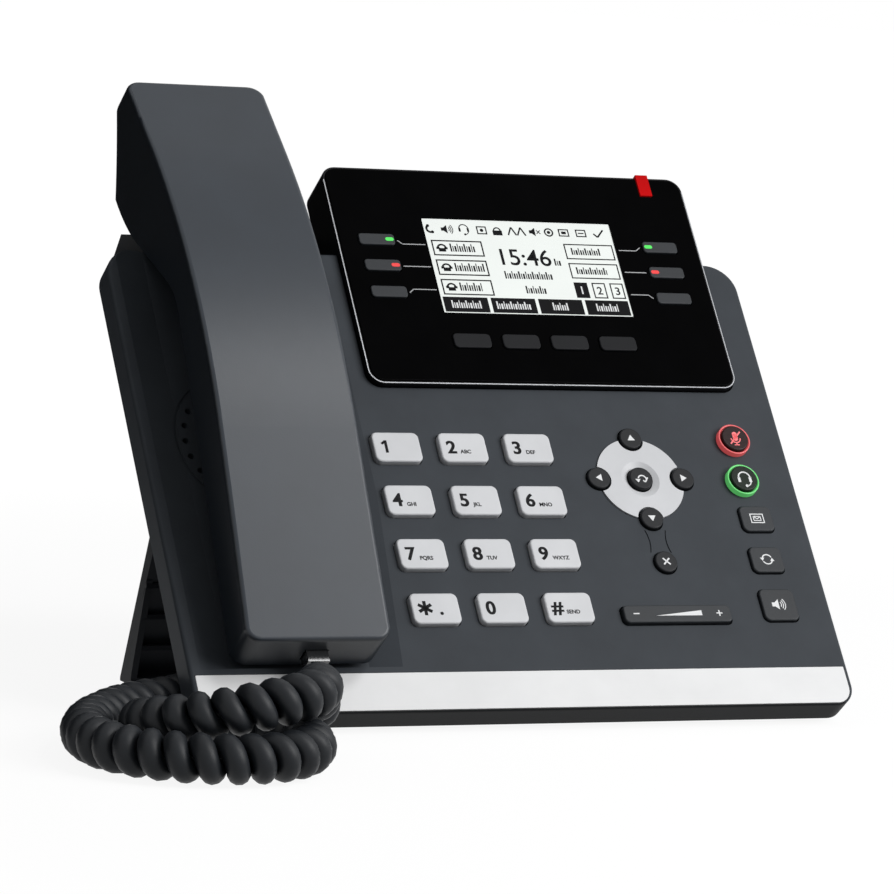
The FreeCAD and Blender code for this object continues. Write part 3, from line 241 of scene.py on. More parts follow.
def screen_finish():
    """Pale backlit screen with the fine grid of its dots."""
    result = tone("lcd_screen", (0.60, 0.625, 0.60), 0.3, 0.03, bump=0.02, Specular_IOR_Level=0.3,
                  Emission_Color=(0.86, 0.90, 0.89, 1), Emission_Strength=0.38)
    tree = result.node_tree
    shader = tree.nodes["Principled BSDF"]
    coords = tree.nodes.new("ShaderNodeTexCoord")
    turned = new_node(tree, "ShaderNodeMapping", Rotation=(-TILT, 0, 0))
    dots = new_node(tree, "ShaderNodeTexBrick", Scale=1.0, Mortar_Size=DOT_GAP, Brick_Width=DOT_PITCH,
                    Row_Height=DOT_PITCH, **DOT_TINTS)
    dots.offset = 0.0
    tint = tree.nodes.new("ShaderNodeMix")
    tint.data_type = "RGBA"
    tint.blend_type = "MULTIPLY"
    tint.inputs["Factor"].default_value = 1.0
    colour = shader.inputs["Base Color"].links[0].from_socket
    tree.links.new(coords.outputs["Object"], turned.inputs["Vector"])
    tree.links.new(turned.outputs["Vector"], dots.inputs["Vector"])
    tree.links.new(colour, tint.inputs["A"])
    tree.links.new(dots.outputs["Color"], tint.inputs["B"])
    tree.links.new(tint.outputs["Result"], shader.inputs["Base Color"])
    return result


def ring_finish():
    """Glowing rings: red round the upper key and green round the lower one."""
    result = tone("key_rings", (0.5, 0.5, 0.5), 0.25, 0.05, bump=0.02, Emission_Strength=0.55)
    tree = result.node_tree
    shader = tree.nodes["Principled BSDF"]
    between = (face(0, MUTE[1], 0).z + face(0, HEADSET[1], 0).z) / 2
    coords = tree.nodes.new("ShaderNodeTexCoord")
    parts = tree.nodes.new("ShaderNodeSeparateXYZ")
    upper = tree.nodes.new("ShaderNodeMath")
    upper.operation = "GREATER_THAN"
    upper.inputs[1].default_value = between
    tints = tree.nodes.new("ShaderNodeValToRGB")
    tints.color_ramp.interpolation = "CONSTANT"
    for stop, where, colour in zip(tints.color_ramp.elements, (0.0, 0.5), (RING_GREEN, RING_RED)):
        stop.position = where
        stop.color = (*colour, 1)
    tree.links.new(coords.outputs["Object"], parts.inputs["Vector"])
    tree.links.new(parts.outputs["Z"], upper.inputs[0])
    tree.links.new(upper.outputs["Value"], tints.inputs["Fac"])
    tree.links.new(tints.outputs["Color"], shader.inputs["Base Color"])
    tree.links.new(tints.outputs["Color"], shader.inputs["Emission Color"])
    return result


def dim(material, value, low, high, share):
    """Base colour scaled from a share up to the whole as a value goes from low to high."""
    tree = material.node_tree
    shader = tree.nodes["Principled BSDF"]
    level = new_node(tree, "ShaderNodeMapRange", From_Min=low, From_Max=high, To_Min=share, To_Max=1.0)
    scaled = tree.nodes.new("ShaderNodeVectorMath")
    scaled.operation = "SCALE"
    tree.links.new(value, level.inputs["Value"])
    tree.links.new(shader.inputs["Base Color"].links[0].from_socket, scaled.inputs[0])
    tree.links.new(level.outputs["Result"], scaled.inputs["Scale"])
    tree.links.new(scaled.outputs["Vector"], shader.inputs["Base Color"])


def paint_low_shade(material, height, share):
    """Painted shade: darker base colour on what lies below a height."""
    tree = material.node_tree
    coords = tree.nodes.new("ShaderNodeTexCoord")
    parts = tree.nodes.new("ShaderNodeSeparateXYZ")
    tree.links.new(coords.outputs["Object"], parts.inputs["Vector"])
    dim(material, parts.outputs["Z"], height - LOW_SHADE_EDGE, height, share)


def paint_side_shade(material, share):
    """Painted shade: darker base colour on what turns away from the direction out of the face."""
    tree = material.node_tree
    coords = tree.nodes.new("ShaderNodeTexCoord")
    facing = tree.nodes.new("ShaderNodeVectorMath")
    facing.operation = "DOT_PRODUCT"
    facing.inputs[1].default_value = FACE_OUT
    tree.links.new(coords.outputs["Normal"], facing.inputs[0])
    dim(material, facing.outputs["Value"], *SIDE_SHADE_TURN, share)


# Painted shade: the base's colour darkened below the trim strip's lower line
paint_low_shade(base_plastic, face(0, STRIP_LOW, 0).z, LOW_SHADE_SHARE)
# Painted shade: the handset's colour darkened on its sides
paint_side_shade(handset_plastic, SIDE_SHADE_SHARE)


def paint(node, material):
    NODES[node].data.materials.clear()
    NODES[node].data.materials.append(material)


NODE_FINISHES = {
    base_plastic: ("front_housing", "hook_switch"),
    rear_plastic: ("rear_housing", "stand"),
    handset_plastic: ("handset_outer_shell", "handset_inner_shell"),
    silver_paint: ("trim_strip",),
    plate_silver: ("nav_plate",),
    black_plastic: ("display_housing",),
    black_pane: ("display_window",),
    screen_finish(): ("lcd_module",),
    red_lamp: ("message_light",),
    ring_finish(): ("key_light_rings",),
    silicone: ("key_mats",),
    board_green: ("circuit_boards",),
    speaker_black: ("loudspeaker", "handset_receiver", "handset_microphone"),
    socket_black: ("rear_jacks",),
    steel: ("case_screws",),
    rubber: ("rubber_feet",),
    smoky: ("handset_plug", "base_plug"),
    jacket: ("handset_lead", "curly_cord", "base_lead"),
    key_silver: tuple("dial_key_" + name for name, letters in DIAL_KEYS),
    dark_key: tuple("line_key_%s_%d" % (side, row) for side in LINE_COLUMNS for row in (1, 2, 3))
    + ("message_key", "redial_key", "speaker_key", "volume_rocker"),
    soft_black: tuple("soft_key_%d" % number for number in (1, 2, 3, 4)),
    black_key: ("up_arrow_key", "down_arrow_key", "left_arrow_key", "right_arrow_key", "ok_key",
                "cancel_key"),
    mute_cap: ("mute_key",),
    headset_cap: ("headset_key",),
}
for finish_of, names in NODE_FINISHES.items():
    for node_name in names:
        paint(node_name, finish_of)


# Flat shapes in the face frame: each is a list of (u, v) points
def rect(left, low, right, high):
    return [(left, low), (right, low), (right, high), (left, high)]


def arc(u, v, inner, outer, start, stop, steps=20):
    angles = [math.radians(start + (stop - start) * step / steps) for step in range(steps + 1)]
    out = [(u + outer * math.cos(angle), v + outer * math.sin(angle)) for angle in angles]
    back = [(u + inner * math.cos(angle), v + inner * math.sin(angle)) for angle in reversed(angles)]
    return out + back


def dot(u, v, radius, steps=24):
    return [(u + radius * math.cos(math.tau * step / steps), v + radius * math.sin(math.tau * step / steps))
            for step in range(steps)]


def pill(u, v, length, width):
    radius = width / 2
    reach = length / 2 - radius
    ends = [math.radians(-90 + 15 * step) for step in range(13)]
    return ([(u + reach + radius * math.cos(angle), v + radius * math.sin(angle)) for angle in ends]
            + [(u - reach - radius * math.cos(angle), v - radius * math.sin(angle)) for angle in ends])


def ring(u, v, inner, outer):
    return [arc(u, v, inner, outer, 0, 180), arc(u, v, inner, outer, 180, 360)]


def stroke(u1, v1, u2, v2, width):
    length = math.hypot(u2 - u1, v2 - v1)
    across_u, across_v = (v1 - v2) / length * width / 2, (u2 - u1) / length * width / 2
    return [(u1 + across_u, v1 + across_v), (u1 - across_u, v1 - across_v),
            (u2 - across_u, v2 - across_v), (u2 + across_u, v2 + across_v)]


def frame_of(left, low, right, high, width):
    return [rect(left, low, right, low + width), rect(left, high - width, right, high),
            rect(left, low + width, left + width, high - width),
            rect(right - width, low + width, right, high - width)]


def moved(shapes, u, v, scale=1.0, turn=0.0):
    cosine, sine = math.cos(math.radians(turn)) * scale, math.sin(math.radians(turn)) * scale
    return [[(u + cosine * x - sine * y, v + sine * x + cosine * y) for x, y in shape] for shape in shapes]


def signed_area(shape):
    corners = zip(shape, shape[1:] + shape[:1])
    return sum(one[0] * two[1] - two[0] * one[1] for one, two in corners) / 2


def add_slab(slabs, shape, low, high):
    """Closed slab of an outline between two heights over the face."""
    points = shape if signed_area(shape) > 0 else shape[::-1]
    bottom = [slabs.verts.new(face(u, v, low)) for u, v in points]
    top = [slabs.verts.new(face(u, v, high)) for u, v in points]
    caps = [slabs.faces.new(top), slabs.faces.new(bottom[::-1])]
    count = len(points)
    for index in range(count):
        after = (index + 1) % count
        slabs.faces.new((bottom[index], bottom[after], top[after], top[index]))
    bmesh.ops.triangulate(slabs, faces=caps)


def add_text(slabs, words, u, v, height, low, high, weight=0.0, align="CENTER"):
    """Text in the plain built-in face, its baseline at v, as closed slabs."""
    letters = bpy.data.curves.new("letters", "FONT")
    letters.body = words
    letters.size = height / CAPITAL_SHARE
    letters.offset = weight
    letters.align_x = align
    letters.extrude = (high - low) / 2
    holder = bpy.data.objects.new("letters", letters)
    mesh = bpy.data.meshes.new_from_object(holder)
    for vertex in mesh.vertices:
        x, y, z = vertex.co
        vertex.co = face(u + x, v + y, (low + high) / 2 + z)
    slabs.from_mesh(mesh)
    bpy.data.objects.remove(holder)
    bpy.data.meshes.remove(mesh)
    bpy.data.curves.remove(letters)


def place(name, slabs, body, material):
    mesh = bpy.data.meshes.new(name)
    slabs.to_mesh(mesh)
    slabs.free()
    mesh.materials.append(material)
    piece = bpy.data.objects.new(name, mesh)
    bpy.context.collection.objects.link(piece)
    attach(piece, body)
    return piece


def flat(name, body, shapes, top, material, proud=INK, root=INK_ROOT):
    """Thin print or lens on a surface at height top."""
    slabs = bmesh.new()
    for shape in shapes:
        add_slab(slabs, shape, top - root, top + proud)
    return place(name, slabs, body, material)


# Prints on the dial keys
NUMERAL_HEIGHT = 4.3
NUMERAL_U = -4.0
NUMERAL_WEIGHT = 0.125
NUMERAL_BOLD = 0.1
NUMERAL_STEP = 0.01
NUMERAL_ONE = [rect(-0.05, -NUMERAL_HEIGHT / 2, 0.85, NUMERAL_HEIGHT / 2),
               stroke(-0.95, 0.95, 0.2, 1.75, 0.75)]
STAR_U = -3.4
STAR_ARM = [stroke(-2.4, 0, 2.4, 0, 1.05)]
STAR_DOT = (1.6, -1.8, 0.55)
STAR = [arm for turn in (90, 210, 330) for arm in moved(STAR_ARM, STAR_U, 0, 1.0, turn)] + [dot(*STAR_DOT)]
DRAWN = {"1": moved(NUMERAL_ONE, NUMERAL_U, 0), "star": STAR}
TYPED = {"hash": "#"}
LETTER_HEIGHT = 1.25
LETTER_LEFT = -1.3
LETTER_WEIGHT = 0.05
low, high = DIAL_TOP - INK_ROOT, DIAL_TOP + INK
for index, (name, letters) in enumerate(DIAL_KEYS):
    u, v = DIAL_COLUMNS[index % 3], DIAL_ROWS[index // 3]
    line = v - NUMERAL_HEIGHT / 2
    slabs = bmesh.new()
    if name in DRAWN:
        for shape in moved(DRAWN[name], u, v):
            add_slab(slabs, shape, low, high)
    else:
        for shift, top in ((-NUMERAL_BOLD, high), (NUMERAL_BOLD, high - NUMERAL_STEP)):
            add_text(slabs, TYPED.get(name, name), u + NUMERAL_U + shift, line, NUMERAL_HEIGHT, low, top,
                     NUMERAL_WEIGHT)
        if letters:
            add_text(slabs, letters, u + LETTER_LEFT, line, LETTER_HEIGHT, low, high, LETTER_WEIGHT, "LEFT")
    place("print_dial_" + name, slabs, "dial_key_" + name, black_ink)

# Icons on the navigation keys
ARROW_HEAD = [[(-1.25, -0.85), (1.25, -0.85), (0.0, 1.15)]]
for name, turn in (("up", 0), ("left", 90), ("down", 180), ("right", 270)):
    angle = math.radians(turn + 90)
    u, v = NAV[0] + NAV_RADIUS * math.cos(angle), NAV[1] + NAV_RADIUS * math.sin(angle)
    flat("print_%s_arrow" % name, name + "_arrow_key", moved(ARROW_HEAD, u, v, 1.0, turn), ROUND_TOP,
         white_ink)
OK_SCALE = 0.9
OK_ICON = [arc(0.2, -0.6, 1.25, 1.75, 0, 165), [(-2.5, -0.5), (-0.5, -0.5), (-1.5, -1.9)],
           stroke(0.4, -1.0, 1.1, -1.7, 0.5), stroke(1.1, -1.7, 2.3, 0.1, 0.5)]
flat("print_ok", "ok_key", moved(OK_ICON, *NAV, OK_SCALE), ROUND_TOP, white_ink)
CROSS = [stroke(-1.1, -1.1, 1.1, 1.1, 0.5), stroke(-1.1, 1.1, 1.1, -1.1, 0.5)]
flat("print_cancel", "cancel_key", moved(CROSS, *CANCEL), ROUND_TOP, white_ink)

# Icons on the lit keys
MIC_ICON = [dot(0, 1.3, 0.85), rect(-0.85, -0.3, 0.85, 1.3), dot(0, -0.3, 0.85),
            arc(0, -0.2, 1.35, 1.75, 180, 360), rect(-0.2, -2.5, 0.2, -1.8), rect(-0.9, -2.75, 0.9, -2.4),
            stroke(-2.1, -2.2, 2.1, 2.2, 0.5)]
flat("print_mute", "mute_key", moved(MIC_ICON, *MUTE), LIT_TOP, pink_ink)
HEADSET_ICON = [arc(0, 0.1, 1.75, 2.2, 0, 180), rect(-2.35, -1.5, -1.45, 0.3), rect(1.45, -1.5, 2.35, 0.3),
                arc(0.3, -1.2, 1.45, 1.8, 270, 350), dot(0.2, -2.85, 0.5)]
flat("print_headset", "headset_key", moved(HEADSET_ICON, *HEADSET), LIT_TOP, white_ink)

# Icons on the square keys
ENVELOPE = frame_of(-2.9, -2.1, 2.9, 2.1, 0.42) + frame_of(-1.7, -1.1, 1.7, 1.05, 0.35) + [
    stroke(-1.6, 0.9, 0.0, -0.25, 0.35), stroke(0.0, -0.25, 1.6, 0.9, 0.35)]
CIRCLING = [arc(0, 0, 1.55, 2.0, 25, 160), [(-2.55, 0.65), (-1.0, 0.65), (-1.8, -0.65)],
            arc(0, 0, 1.55, 2.0, 205, 340), [(1.0, -0.65), (2.55, -0.65), (1.8, 0.65)]]
LOUD = [rect(-2.6, -0.8, -1.5, 0.8), [(-1.5, -0.8), (0.1, -2.1), (0.1, 2.1), (-1.5, 0.8)],
        arc(-0.4, 0, 1.35, 1.7, -38, 38), arc(-0.4, 0, 2.15, 2.5, -42, 42), arc(-0.4, 0, 2.95, 3.3, -44, 44)]
LOUD_SHIFT = -0.3
SQUARE_ICONS = (("message", ENVELOPE, MESSAGE, 0.8), ("redial", CIRCLING, REDIAL, 0.92),
                ("speaker", LOUD, (SPEAKER[0] + LOUD_SHIFT, SPEAKER[1]), 0.85))
for name, icon, (u, v), scale in SQUARE_ICONS:
    flat("print_" + name, name + "_key", moved(icon, u, v, scale), SQUARE_TOP, white_ink)

# Print on the volume rocker: minus, plus and a wedge
VOLUME = [rect(-14.9, -0.2, -12.9, 0.2), rect(12.9, -0.2, 14.9, 0.2), rect(13.7, -1.0, 14.1, -0.2),
          rect(13.7, 0.2, 14.1, 1.0), [(-7.5, -0.75), (8.0, -0.75), (8.0, 1.0)]]
flat("print_volume", "volume_rocker", moved(VOLUME, *ROCKER), ROCKER_TOP, white_ink)

# Lamps in the line keys and lines from them to the screen
INWARD = {"left": 1, "right": -1}
LED_U = 4.2
LED_SIZE = (2.8, 1.3)
LED_LOOKS = ((green_led, "light_ring"), (red_led, "red_lamp"))
for side, u in LINE_COLUMNS.items():
    for row, (v, (lens, slot)) in enumerate(zip(LINE_ROWS, LED_LOOKS), 1):
        outline = pill(u + INWARD[side] * LED_U, v, *LED_SIZE)
        flat("led_%s_%d" % (side, row), "line_key_%s_%d" % (side, row), [outline], SCREEN_KEY_TOP, lens)
LEADER = 0.3
LEADER_RISES = (-1.3, 0.0, 1.3)
LEADER_START = 7.0
LEADER_SLOPE = 1.5
LEADER_GAP = 0.8
leaders = []
for side, u in LINE_COLUMNS.items():
    start = u + INWARD[side] * LEADER_START
    bend = start + INWARD[side] * LEADER_SLOPE
    edge = LCD[0] - LEADER_GAP if side == "left" else LCD[1] + LEADER_GAP
    for v, rise in zip(LINE_ROWS, LEADER_RISES):
        if rise:
            leaders += [stroke(start, v, bend, v + rise, LEADER), dot(bend, v + rise, LEADER / 2, 12)]
        leaders.append(stroke(bend if rise else start, v + rise, edge, v + rise, LEADER))
flat("print_leaders", "base", leaders, PANE_TOP, leader_ink)

# Bright edge of the display: left, right and bottom
RIM_IN = 0.15
RIM_WIDTH = 0.32
left, right, low, high = DISPLAY
rim_out = DISPLAY_CORNER - RIM_IN
rim_in = rim_out - RIM_WIDTH
rim = [rect(left + RIM_IN, low + DISPLAY_CORNER, left + RIM_IN + RIM_WIDTH, high - DISPLAY_CORNER),
       rect(right - RIM_IN - RIM_WIDTH, low + DISPLAY_CORNER, right - RIM_IN, high - DISPLAY_CORNER),
       rect(left + DISPLAY_CORNER, low + RIM_IN, right - DISPLAY_CORNER, low + RIM_IN + RIM_WIDTH),
       arc(left + DISPLAY_CORNER, low + DISPLAY_CORNER, rim_in, rim_out, 180, 270),
       arc(right - DISPLAY_CORNER, low + DISPLAY_CORNER, rim_in, rim_out, 270, 360)]
flat("display_rim", "base", rim, RIM_TOP, rim_silver)


# Screen content: pictograms, figures and plain bars
BAR_STEPS = ((0.5, 1.0), (0.3, 0.7), (0.6, 0.7), (0.3, 1.0), (0.5, 0.7), (0.4, 0.7))
BAR_GAP = 0.35
BAR_END = 0.5


def bars(u, v, width, height):
    """A line of text shown as plain strokes."""
    shapes = []
    x = 0.0
    while x < width - BAR_END:
        wide, tall = BAR_STEPS[len(shapes) % len(BAR_STEPS)]
        shapes.append(rect(u + x, v, u + x + wide, v + height * tall))
        x += wide + BAR_GAP
    return shapes


# Status pictograms: place, lift over their line, scale and shapes round their own middle
PEAK = [stroke(-1.4, -1.5, 0, 1.5, 0.5), stroke(0, 1.5, 1.4, -1.5, 0.5)]
STATUS_V = 156.0
STATUS_ICONS = (
    (2.4, 0, 0.9, [arc(0, 0, 1.0, 1.8, 120, 290), dot(-0.7, 1.3, 0.6), dot(0.6, -1.3, 0.6)]),
    (8.0, 0, 0.75, LOUD),
    (13.8, 0.4, 0.75, HEADSET_ICON),
    (19.9, 0, 1.0, frame_of(-1.7, -1.5, 1.7, 1.5, 0.4) + [dot(0, 0, 0.6)]),
    (25.2, 0, 1.0, [arc(0, 0, 0.9, 1.35, 0, 180), rect(-1.6, -1.7, 1.6, 0.1)]),
    (30.2, 0, 1.0, PEAK),
    (33.4, 0, 1.0, PEAK),
    (38.2, 0, 0.75, LOUD[:2] + moved(CROSS, 1.6, 0, 0.8)),
    (43.0, 0, 1.0, ring(0, 0, 1.1, 1.6) + [dot(0, 0, 0.6)]),
    (48.2, 0, 1.0, frame_of(-1.8, -1.4, 1.8, 1.4, 0.4) + [rect(-0.8, -0.5, 0.8, 0.5)]),
    (54.2, 0, 1.0, frame_of(-1.8, -1.4, 1.8, 1.4, 0.4) + [stroke(-1.0, 0, 1.0, 0, 0.4)]),
    (60.4, 0, 1.0, [stroke(-1.8, 0, -0.6, -1.3, 0.55), stroke(-0.6, -1.3, 1.8, 1.5, 0.55)]),
)
content = []
for u, lift, scale, icon in STATUS_ICONS:
    content += moved(icon, u, STATUS_V + lift, scale)

# Labels beside the line keys and page marks
DESK_PHONE = [arc(0, -0.6, 1.1, 1.7, 20, 160), rect(-1.9, -0.9, -0.8, -0.1), rect(0.8, -0.9, 1.9, -0.1),
              rect(-1.2, -1.8, 1.2, -0.5)]
LABEL_ROWS = (148.9, 141.6, 134.3)
LABEL_HALF = 2.9
LABEL_LINE = 0.4
LEFT_LABEL = (1.6, 18.8)
LEFT_LINE = 0.45
LEFT_ICON_U, LEFT_ICON_LIFT = 4.8, 0.4
LEFT_TEXT_U, LEFT_TEXT_DROP, LEFT_TEXT_HEIGHT = 7.6, 1.3, 3.0
LEFT_WIDTHS = (8.5, 10.0, 8.0)
RIGHT_LABEL = (47.0, 64.0)
RIGHT_TEXT_U, RIGHT_TEXT_DROP, RIGHT_TEXT_HEIGHT = 49.2, 1.2, 2.6
RIGHT_WIDTHS = (10.5, 11.0)
PAGE_WIDTH = 4.6
PAGES = (47.0, 53.2, 59.4)
for v, width in zip(LABEL_ROWS, LEFT_WIDTHS):
    content += frame_of(LEFT_LABEL[0], v - LABEL_HALF, LEFT_LABEL[1], v + LABEL_HALF, LEFT_LINE)
    content += moved(DESK_PHONE, LEFT_ICON_U, v + LEFT_ICON_LIFT)
    content += bars(LEFT_TEXT_U, v - LEFT_TEXT_DROP, width, LEFT_TEXT_HEIGHT)
for v, width in zip(LABEL_ROWS, RIGHT_WIDTHS):
    content += frame_of(RIGHT_LABEL[0], v - LABEL_HALF, RIGHT_LABEL[1], v + LABEL_HALF, LABEL_LINE)
    content += bars(RIGHT_TEXT_U, v - RIGHT_TEXT_DROP, width, RIGHT_TEXT_HEIGHT)
page_v = LABEL_ROWS[2]
content.append(rect(PAGES[0], page_v - LABEL_HALF, PAGES[0] + PAGE_WIDTH, page_v + LABEL_HALF))
for u in PAGES[1:]:
    content += frame_of(u, page_v - LABEL_HALF, u + PAGE_WIDTH, page_v + LABEL_HALF, LABEL_LINE)

# Clock, the lines round it and the tabs over the soft keys
CLOCK_LINES = ((42.3, 143.4, 2.6, 2.6), (24.0, 138.0, 16.5, 2.8), (30.0, 132.6, 7.0, 2.8))
for line in CLOCK_LINES:
    content += bars(*line)
TAB_LOW, TAB_HIGH = 125.1, 130.6
TAB_TEXT_LIFT, TAB_TEXT_HEIGHT = 1.4, 2.8
TABS = ((0.8, 15.9, 10.0), (17.0, 32.1, 12.0), (33.2, 48.2, 6.0), (49.3, 64.2, 8.0))
content += [rect(start, TAB_LOW, stop, TAB_HIGH) for start, stop, width in TABS]
CLOCK = (32.0, 143.2, 6.0)
CLOCK_WEIGHT = 0.06
PAGE_FIGURE = 2.8
PAGE_WEIGHT = 0.05
low, high = LCD_TOP - INK_ROOT, LCD_TOP + INK
slabs = bmesh.new()
for shape in content:
    add_slab(slabs, shape, low, high)
add_text(slabs, "15:46", *CLOCK, low, high, CLOCK_WEIGHT)
for figure, u in zip("23", PAGES[1:]):
    add_text(slabs, figure, u + PAGE_WIDTH / 2, page_v - PAGE_FIGURE / 2, PAGE_FIGURE, low, high, PAGE_WEIGHT)
place("lcd_content", slabs, "base", lcd_ink)
low, high = LCD_TOP, LCD_TOP + 2 * INK
slabs = bmesh.new()
for start, stop, width in TABS:
    for shape in bars((start + stop - width) / 2, TAB_LOW + TAB_TEXT_LIFT, width, TAB_TEXT_HEIGHT):
        add_slab(slabs, shape, low, high)
add_text(slabs, "1", PAGES[0] + PAGE_WIDTH / 2, page_v - PAGE_FIGURE / 2, PAGE_FIGURE, low, high, PAGE_WEIGHT)
place("lcd_tab_content", slabs, "base", white_ink)


# Cords
def spline_points(points, resolution):
    """Points along the smooth NURBS line of a route, in metres."""
    line = bpy.data.curves.new("route", "CURVE")
    line.dimensions = "3D"
    line.resolution_u = resolution
    spline = line.splines.new("NURBS")
    spline.points.add(len(points) - 1)
    for knot, point in zip(spline.points, points):
        knot.co = (*(Vector(point) * MM), 1)
    spline.order_u = 3
    spline.use_endpoint_u = True
    holder = bpy.data.objects.new("route", line)
    mesh = bpy.data.meshes.new_from_object(holder)
    result = [vertex.co.copy() for vertex in mesh.vertices]
    bpy.data.objects.remove(holder)
    bpy.data.meshes.remove(mesh)
    bpy.data.curves.remove(line)
    return result


def directions(points):
    before = points[:1] + points[:-1]
    after = points[1:] + points[-1:]
    return [(ahead - behind).normalized() for ahead, behind in zip(after, before)]


def sides(points):
    """A side direction at each point that turns as little as it can along the line."""
    ahead = directions(points)
    side = ahead[0].orthogonal().normalized()
    result = []
    for index, direction in enumerate(ahead):
        if index:
            side = ahead[index - 1].rotation_difference(direction) @ side
        side = (side - direction * side.dot(direction)).normalized()
        result.append(side)
    return ahead, result


def lengths(points):
    total = 0.0
    result = [0.0]
    for one, two in zip(points, points[1:]):
        total += (two - one).length
        result.append(total)
    return result


def eased(share):
    share = min(max(share, 0.0), 1.0)
    return share * share * (3 - 2 * share)


def helix(points):
    """The curled line round an axis: straight at both ends, then easing out to the curls."""
    along = lengths(points)
    ahead, across = sides(points)
    total = along[-1]
    count = round(total / (CURL_PITCH * MM) * STEPS_PER_CURL)
    result = []
    index = 0
    for step in range(count + 1):
        run = total * step / count
        while index < len(along) - 2 and along[index + 1] < run:
            index += 1
        share = (run - along[index]) / (along[index + 1] - along[index])
        centre = points[index].lerp(points[index + 1], share)
        direction = ahead[index].lerp(ahead[index + 1], share).normalized()
        side = across[index].lerp(across[index + 1], share)
        side = (side - direction * side.dot(direction)).normalized()
        up = direction.cross(side)
        from_end = min(run, total - run) / MM
        radius = CURL_RADIUS * MM * eased((from_end - CURL_STRAIGHT) / (CURL_RUN_IN - CURL_STRAIGHT))
        turn = math.tau * run / (CURL_PITCH * MM)
        result.append(centre + (side * math.cos(turn) + up * math.sin(turn)) * radius)
    return result


def tube(name, points, diameter):
    """Closed round tube along a line."""
    ahead, across = sides(points)
    radius = diameter * MM / 2
    angles = [math.tau * step / TUBE_SIDES for step in range(TUBE_SIDES)]
    skin = bmesh.new()
    rings = []
    for point, direction, side in zip(points, ahead, across):
        up = direction.cross(side)
        rings.append([skin.verts.new(point + (side * math.cos(angle) + up * math.sin(angle)) * radius)
                      for angle in angles])
    for one, two in zip(rings, rings[1:]):
        for index in range(TUBE_SIDES):
            after = (index + 1) % TUBE_SIDES
            skin.faces.new((one[index], one[after], two[after], two[index])).smooth = True
    skin.faces.new(rings[0][::-1])
    skin.faces.new(rings[-1])
    mesh = bpy.data.meshes.new(name)
    skin.to_mesh(mesh)
    skin.free()
    mesh.materials.append(jacket)
    piece = bpy.data.objects.new(name, mesh)
    bpy.context.collection.objects.link(piece)
    return piece


handset_lead_line = spline_points(HANDSET_LEAD_ROUTE, LEAD_STEPS)
handset_lead = tube("cord_handset_lead", handset_lead_line, LEAD_DIAMETER)
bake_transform(handset_lead)
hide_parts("handset_lead")
curl_line = helix(spline_points(CURL_ROUTE, CURL_ROUTE_STEPS))
curls = tube("cord_curls", curl_line, CURL_TUBE_DIAMETER)
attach(curls, "base")
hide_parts("curly_cord")
base_lead_line = spline_points(BASE_LEAD_ROUTE, LEAD_STEPS)
base_lead = tube("cord_base_lead", base_lead_line, LEAD_DIAMETER)
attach(base_lead, "base")
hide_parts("base_lead")

# Floor, light and camera
scene = bpy.context.scene
FLOOR_HALF = 60.0
FLOOR_DROP = 0.0004
FLOOR_COLOUR = (0.13, 0.13, 0.13, 1)
floor_mesh = bpy.data.meshes.new("floor")
floor_corners = [(x * FLOOR_HALF, y * FLOOR_HALF, 0) for x, y in ((-1, -1), (1, -1), (1, 1), (-1, 1))]
floor_mesh.from_pydata(floor_corners, [], [(0, 1, 2, 3)])
floor = bpy.data.objects.new("floor", floor_mesh)
floor.location.z = -FLOOR_DROP
bpy.context.collection.objects.link(floor)


def seen_rays(tree):
    """1 for the rays that show the background: camera, glossy and transmission rays."""
    paths = tree.nodes.new("ShaderNodeLightPath")
    total = paths.outputs["Is Camera Ray"]
    for kind in ("Is Glossy Ray", "Is Transmission Ray"):
        larger = tree.nodes.new("ShaderNodeMath")
        larger.operation = "MAXIMUM"
        tree.links.new(total, larger.inputs[0])
        tree.links.new(paths.outputs[kind], larger.inputs[1])
        total = larger.outputs["Value"]
    return total


FLOOR_GLOW_NEAR, FLOOR_GLOW_FAR = 0.9, 0.98
FLOOR_NEAR, FLOOR_FAR = 0.25, 0.8
floor_finish = bpy.data.materials.new("floor")
floor_finish.use_nodes = True
tree = floor_finish.node_tree
shader = tree.nodes["Principled BSDF"]
shader.inputs["Base Color"].default_value = FLOOR_COLOUR
shader.inputs["Roughness"].default_value = 0.9
shader.inputs["Specular IOR Level"].default_value = 0.0
shader.inputs["Emission Color"].default_value = (1, 1, 1, 1)
glow = tree.nodes.new("ShaderNodeMath")
glow.operation = "MULTIPLY"
floor_place = tree.nodes.new("ShaderNodeTexCoord")
floor_reach = tree.nodes.new("ShaderNodeVectorMath")
floor_reach.operation = "LENGTH"
floor_level = new_node(tree, "ShaderNodeMapRange", From_Min=FLOOR_NEAR, From_Max=FLOOR_FAR,
                       To_Min=FLOOR_GLOW_NEAR, To_Max=FLOOR_GLOW_FAR)
floor_level.interpolation_type = "SMOOTHSTEP"
tree.links.new(floor_place.outputs["Object"], floor_reach.inputs[0])
tree.links.new(floor_reach.outputs["Value"], floor_level.inputs["Value"])
tree.links.new(floor_level.outputs["Result"], glow.inputs[1])
tree.links.new(seen_rays(tree), glow.inputs[0])
tree.links.new(glow.outputs["Value"], shader.inputs["Emission Strength"])
floor_mesh.materials.append(floor_finish)

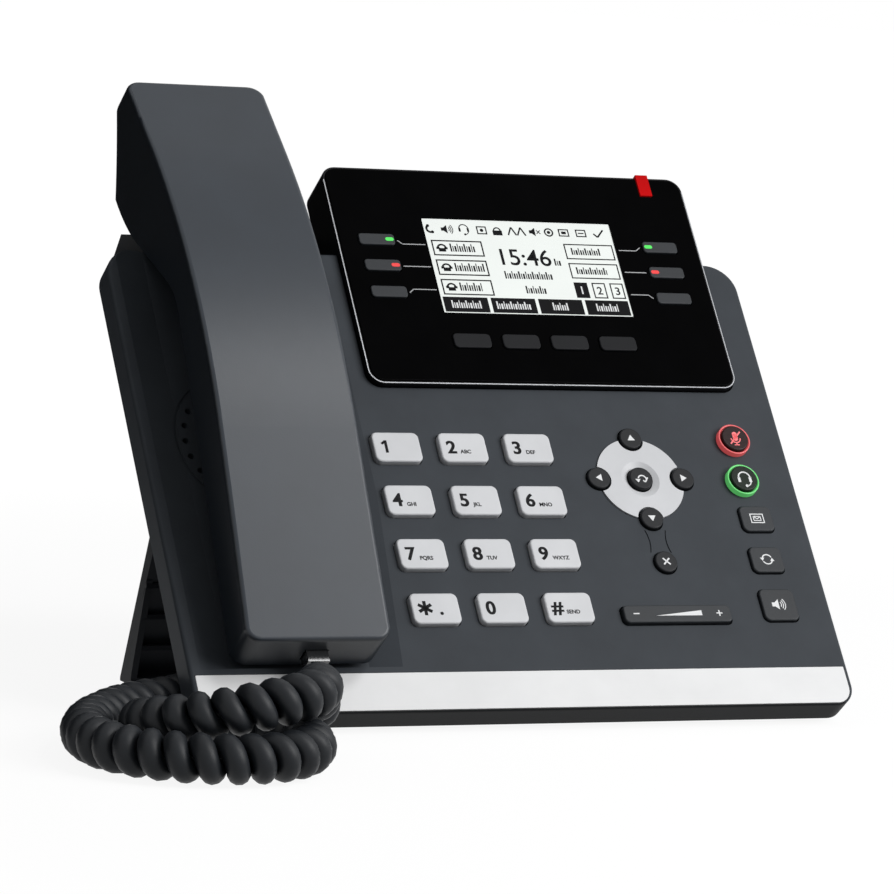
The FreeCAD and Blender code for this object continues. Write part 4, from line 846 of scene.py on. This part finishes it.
WORLD_LIGHT = 0.27
world = bpy.data.worlds.new("studio")
scene.world = world
world.use_nodes = True
tree = world.node_tree
background = tree.nodes["Background"]
background.inputs["Color"].default_value = (1, 1, 1, 1)
level = new_node(tree, "ShaderNodeMapRange", To_Min=WORLD_LIGHT, To_Max=1.0)
tree.links.new(seen_rays(tree), level.inputs["Value"])
tree.links.new(level.outputs["Result"], background.inputs["Strength"])


def lamp(name, where, target, size, power):
    light = bpy.data.lights.new(name, "AREA")
    light.shape = "DISK"
    light.size = size
    light.energy = power
    holder = bpy.data.objects.new(name, light)
    holder.location = where
    holder.rotation_euler = (Vector(target) - Vector(where)).to_track_quat("-Z", "Y").to_euler()
    bpy.context.collection.objects.link(holder)


MIDDLE = (0.0, 0.0, 0.09)
LAMPS = (("key_light", (0.95, -0.85, 0.72), 0.9, 15.0), ("top_light", (0.475, -0.61, 1.165), 0.34, 3.2))
for name, where, size, power in LAMPS:
    lamp(name, where, MIDDLE, size, power)

# Dark card that only reflections see, so that the left sides stay dark
CARD_ENDS = ((-0.95, -0.05), (0.02, 0.42))
CARD_LOW, CARD_HIGH = -0.1, 0.7
CARD_COLOUR = (0.005, 0.005, 0.005, 1)
card_mesh = bpy.data.meshes.new("dark_card")
card_corners = [(*end, CARD_LOW) for end in CARD_ENDS] + [(*end, CARD_HIGH) for end in reversed(CARD_ENDS)]
card_mesh.from_pydata(card_corners, [], [(0, 1, 2, 3)])
card_finish = bpy.data.materials.new("dark_card")
card_finish.use_nodes = True
shader = card_finish.node_tree.nodes["Principled BSDF"]
shader.inputs["Base Color"].default_value = CARD_COLOUR
shader.inputs["Roughness"].default_value = 1.0
card_mesh.materials.append(card_finish)
card = bpy.data.objects.new("dark_card", card_mesh)
bpy.context.collection.objects.link(card)
card.visible_camera = card.visible_diffuse = card.visible_shadow = card.visible_transmission = False

camera = bpy.data.cameras.new("camera")
camera.lens = CAMERA_LENS
camera.sensor_width = CAMERA_SENSOR
viewer = bpy.data.objects.new("camera", camera)
viewer.matrix_world = (Matrix.Translation(CAMERA_PLACE)
                       @ Matrix.Rotation(-CAMERA_TURN, 4, "Z")
                       @ Matrix.Rotation(math.pi / 2 - CAMERA_DIP, 4, "X")
                       @ Matrix.Rotation(CAMERA_ROLL, 4, "Z"))
bpy.context.collection.objects.link(viewer)
scene.camera = viewer
scene.view_settings.view_transform = "Standard"
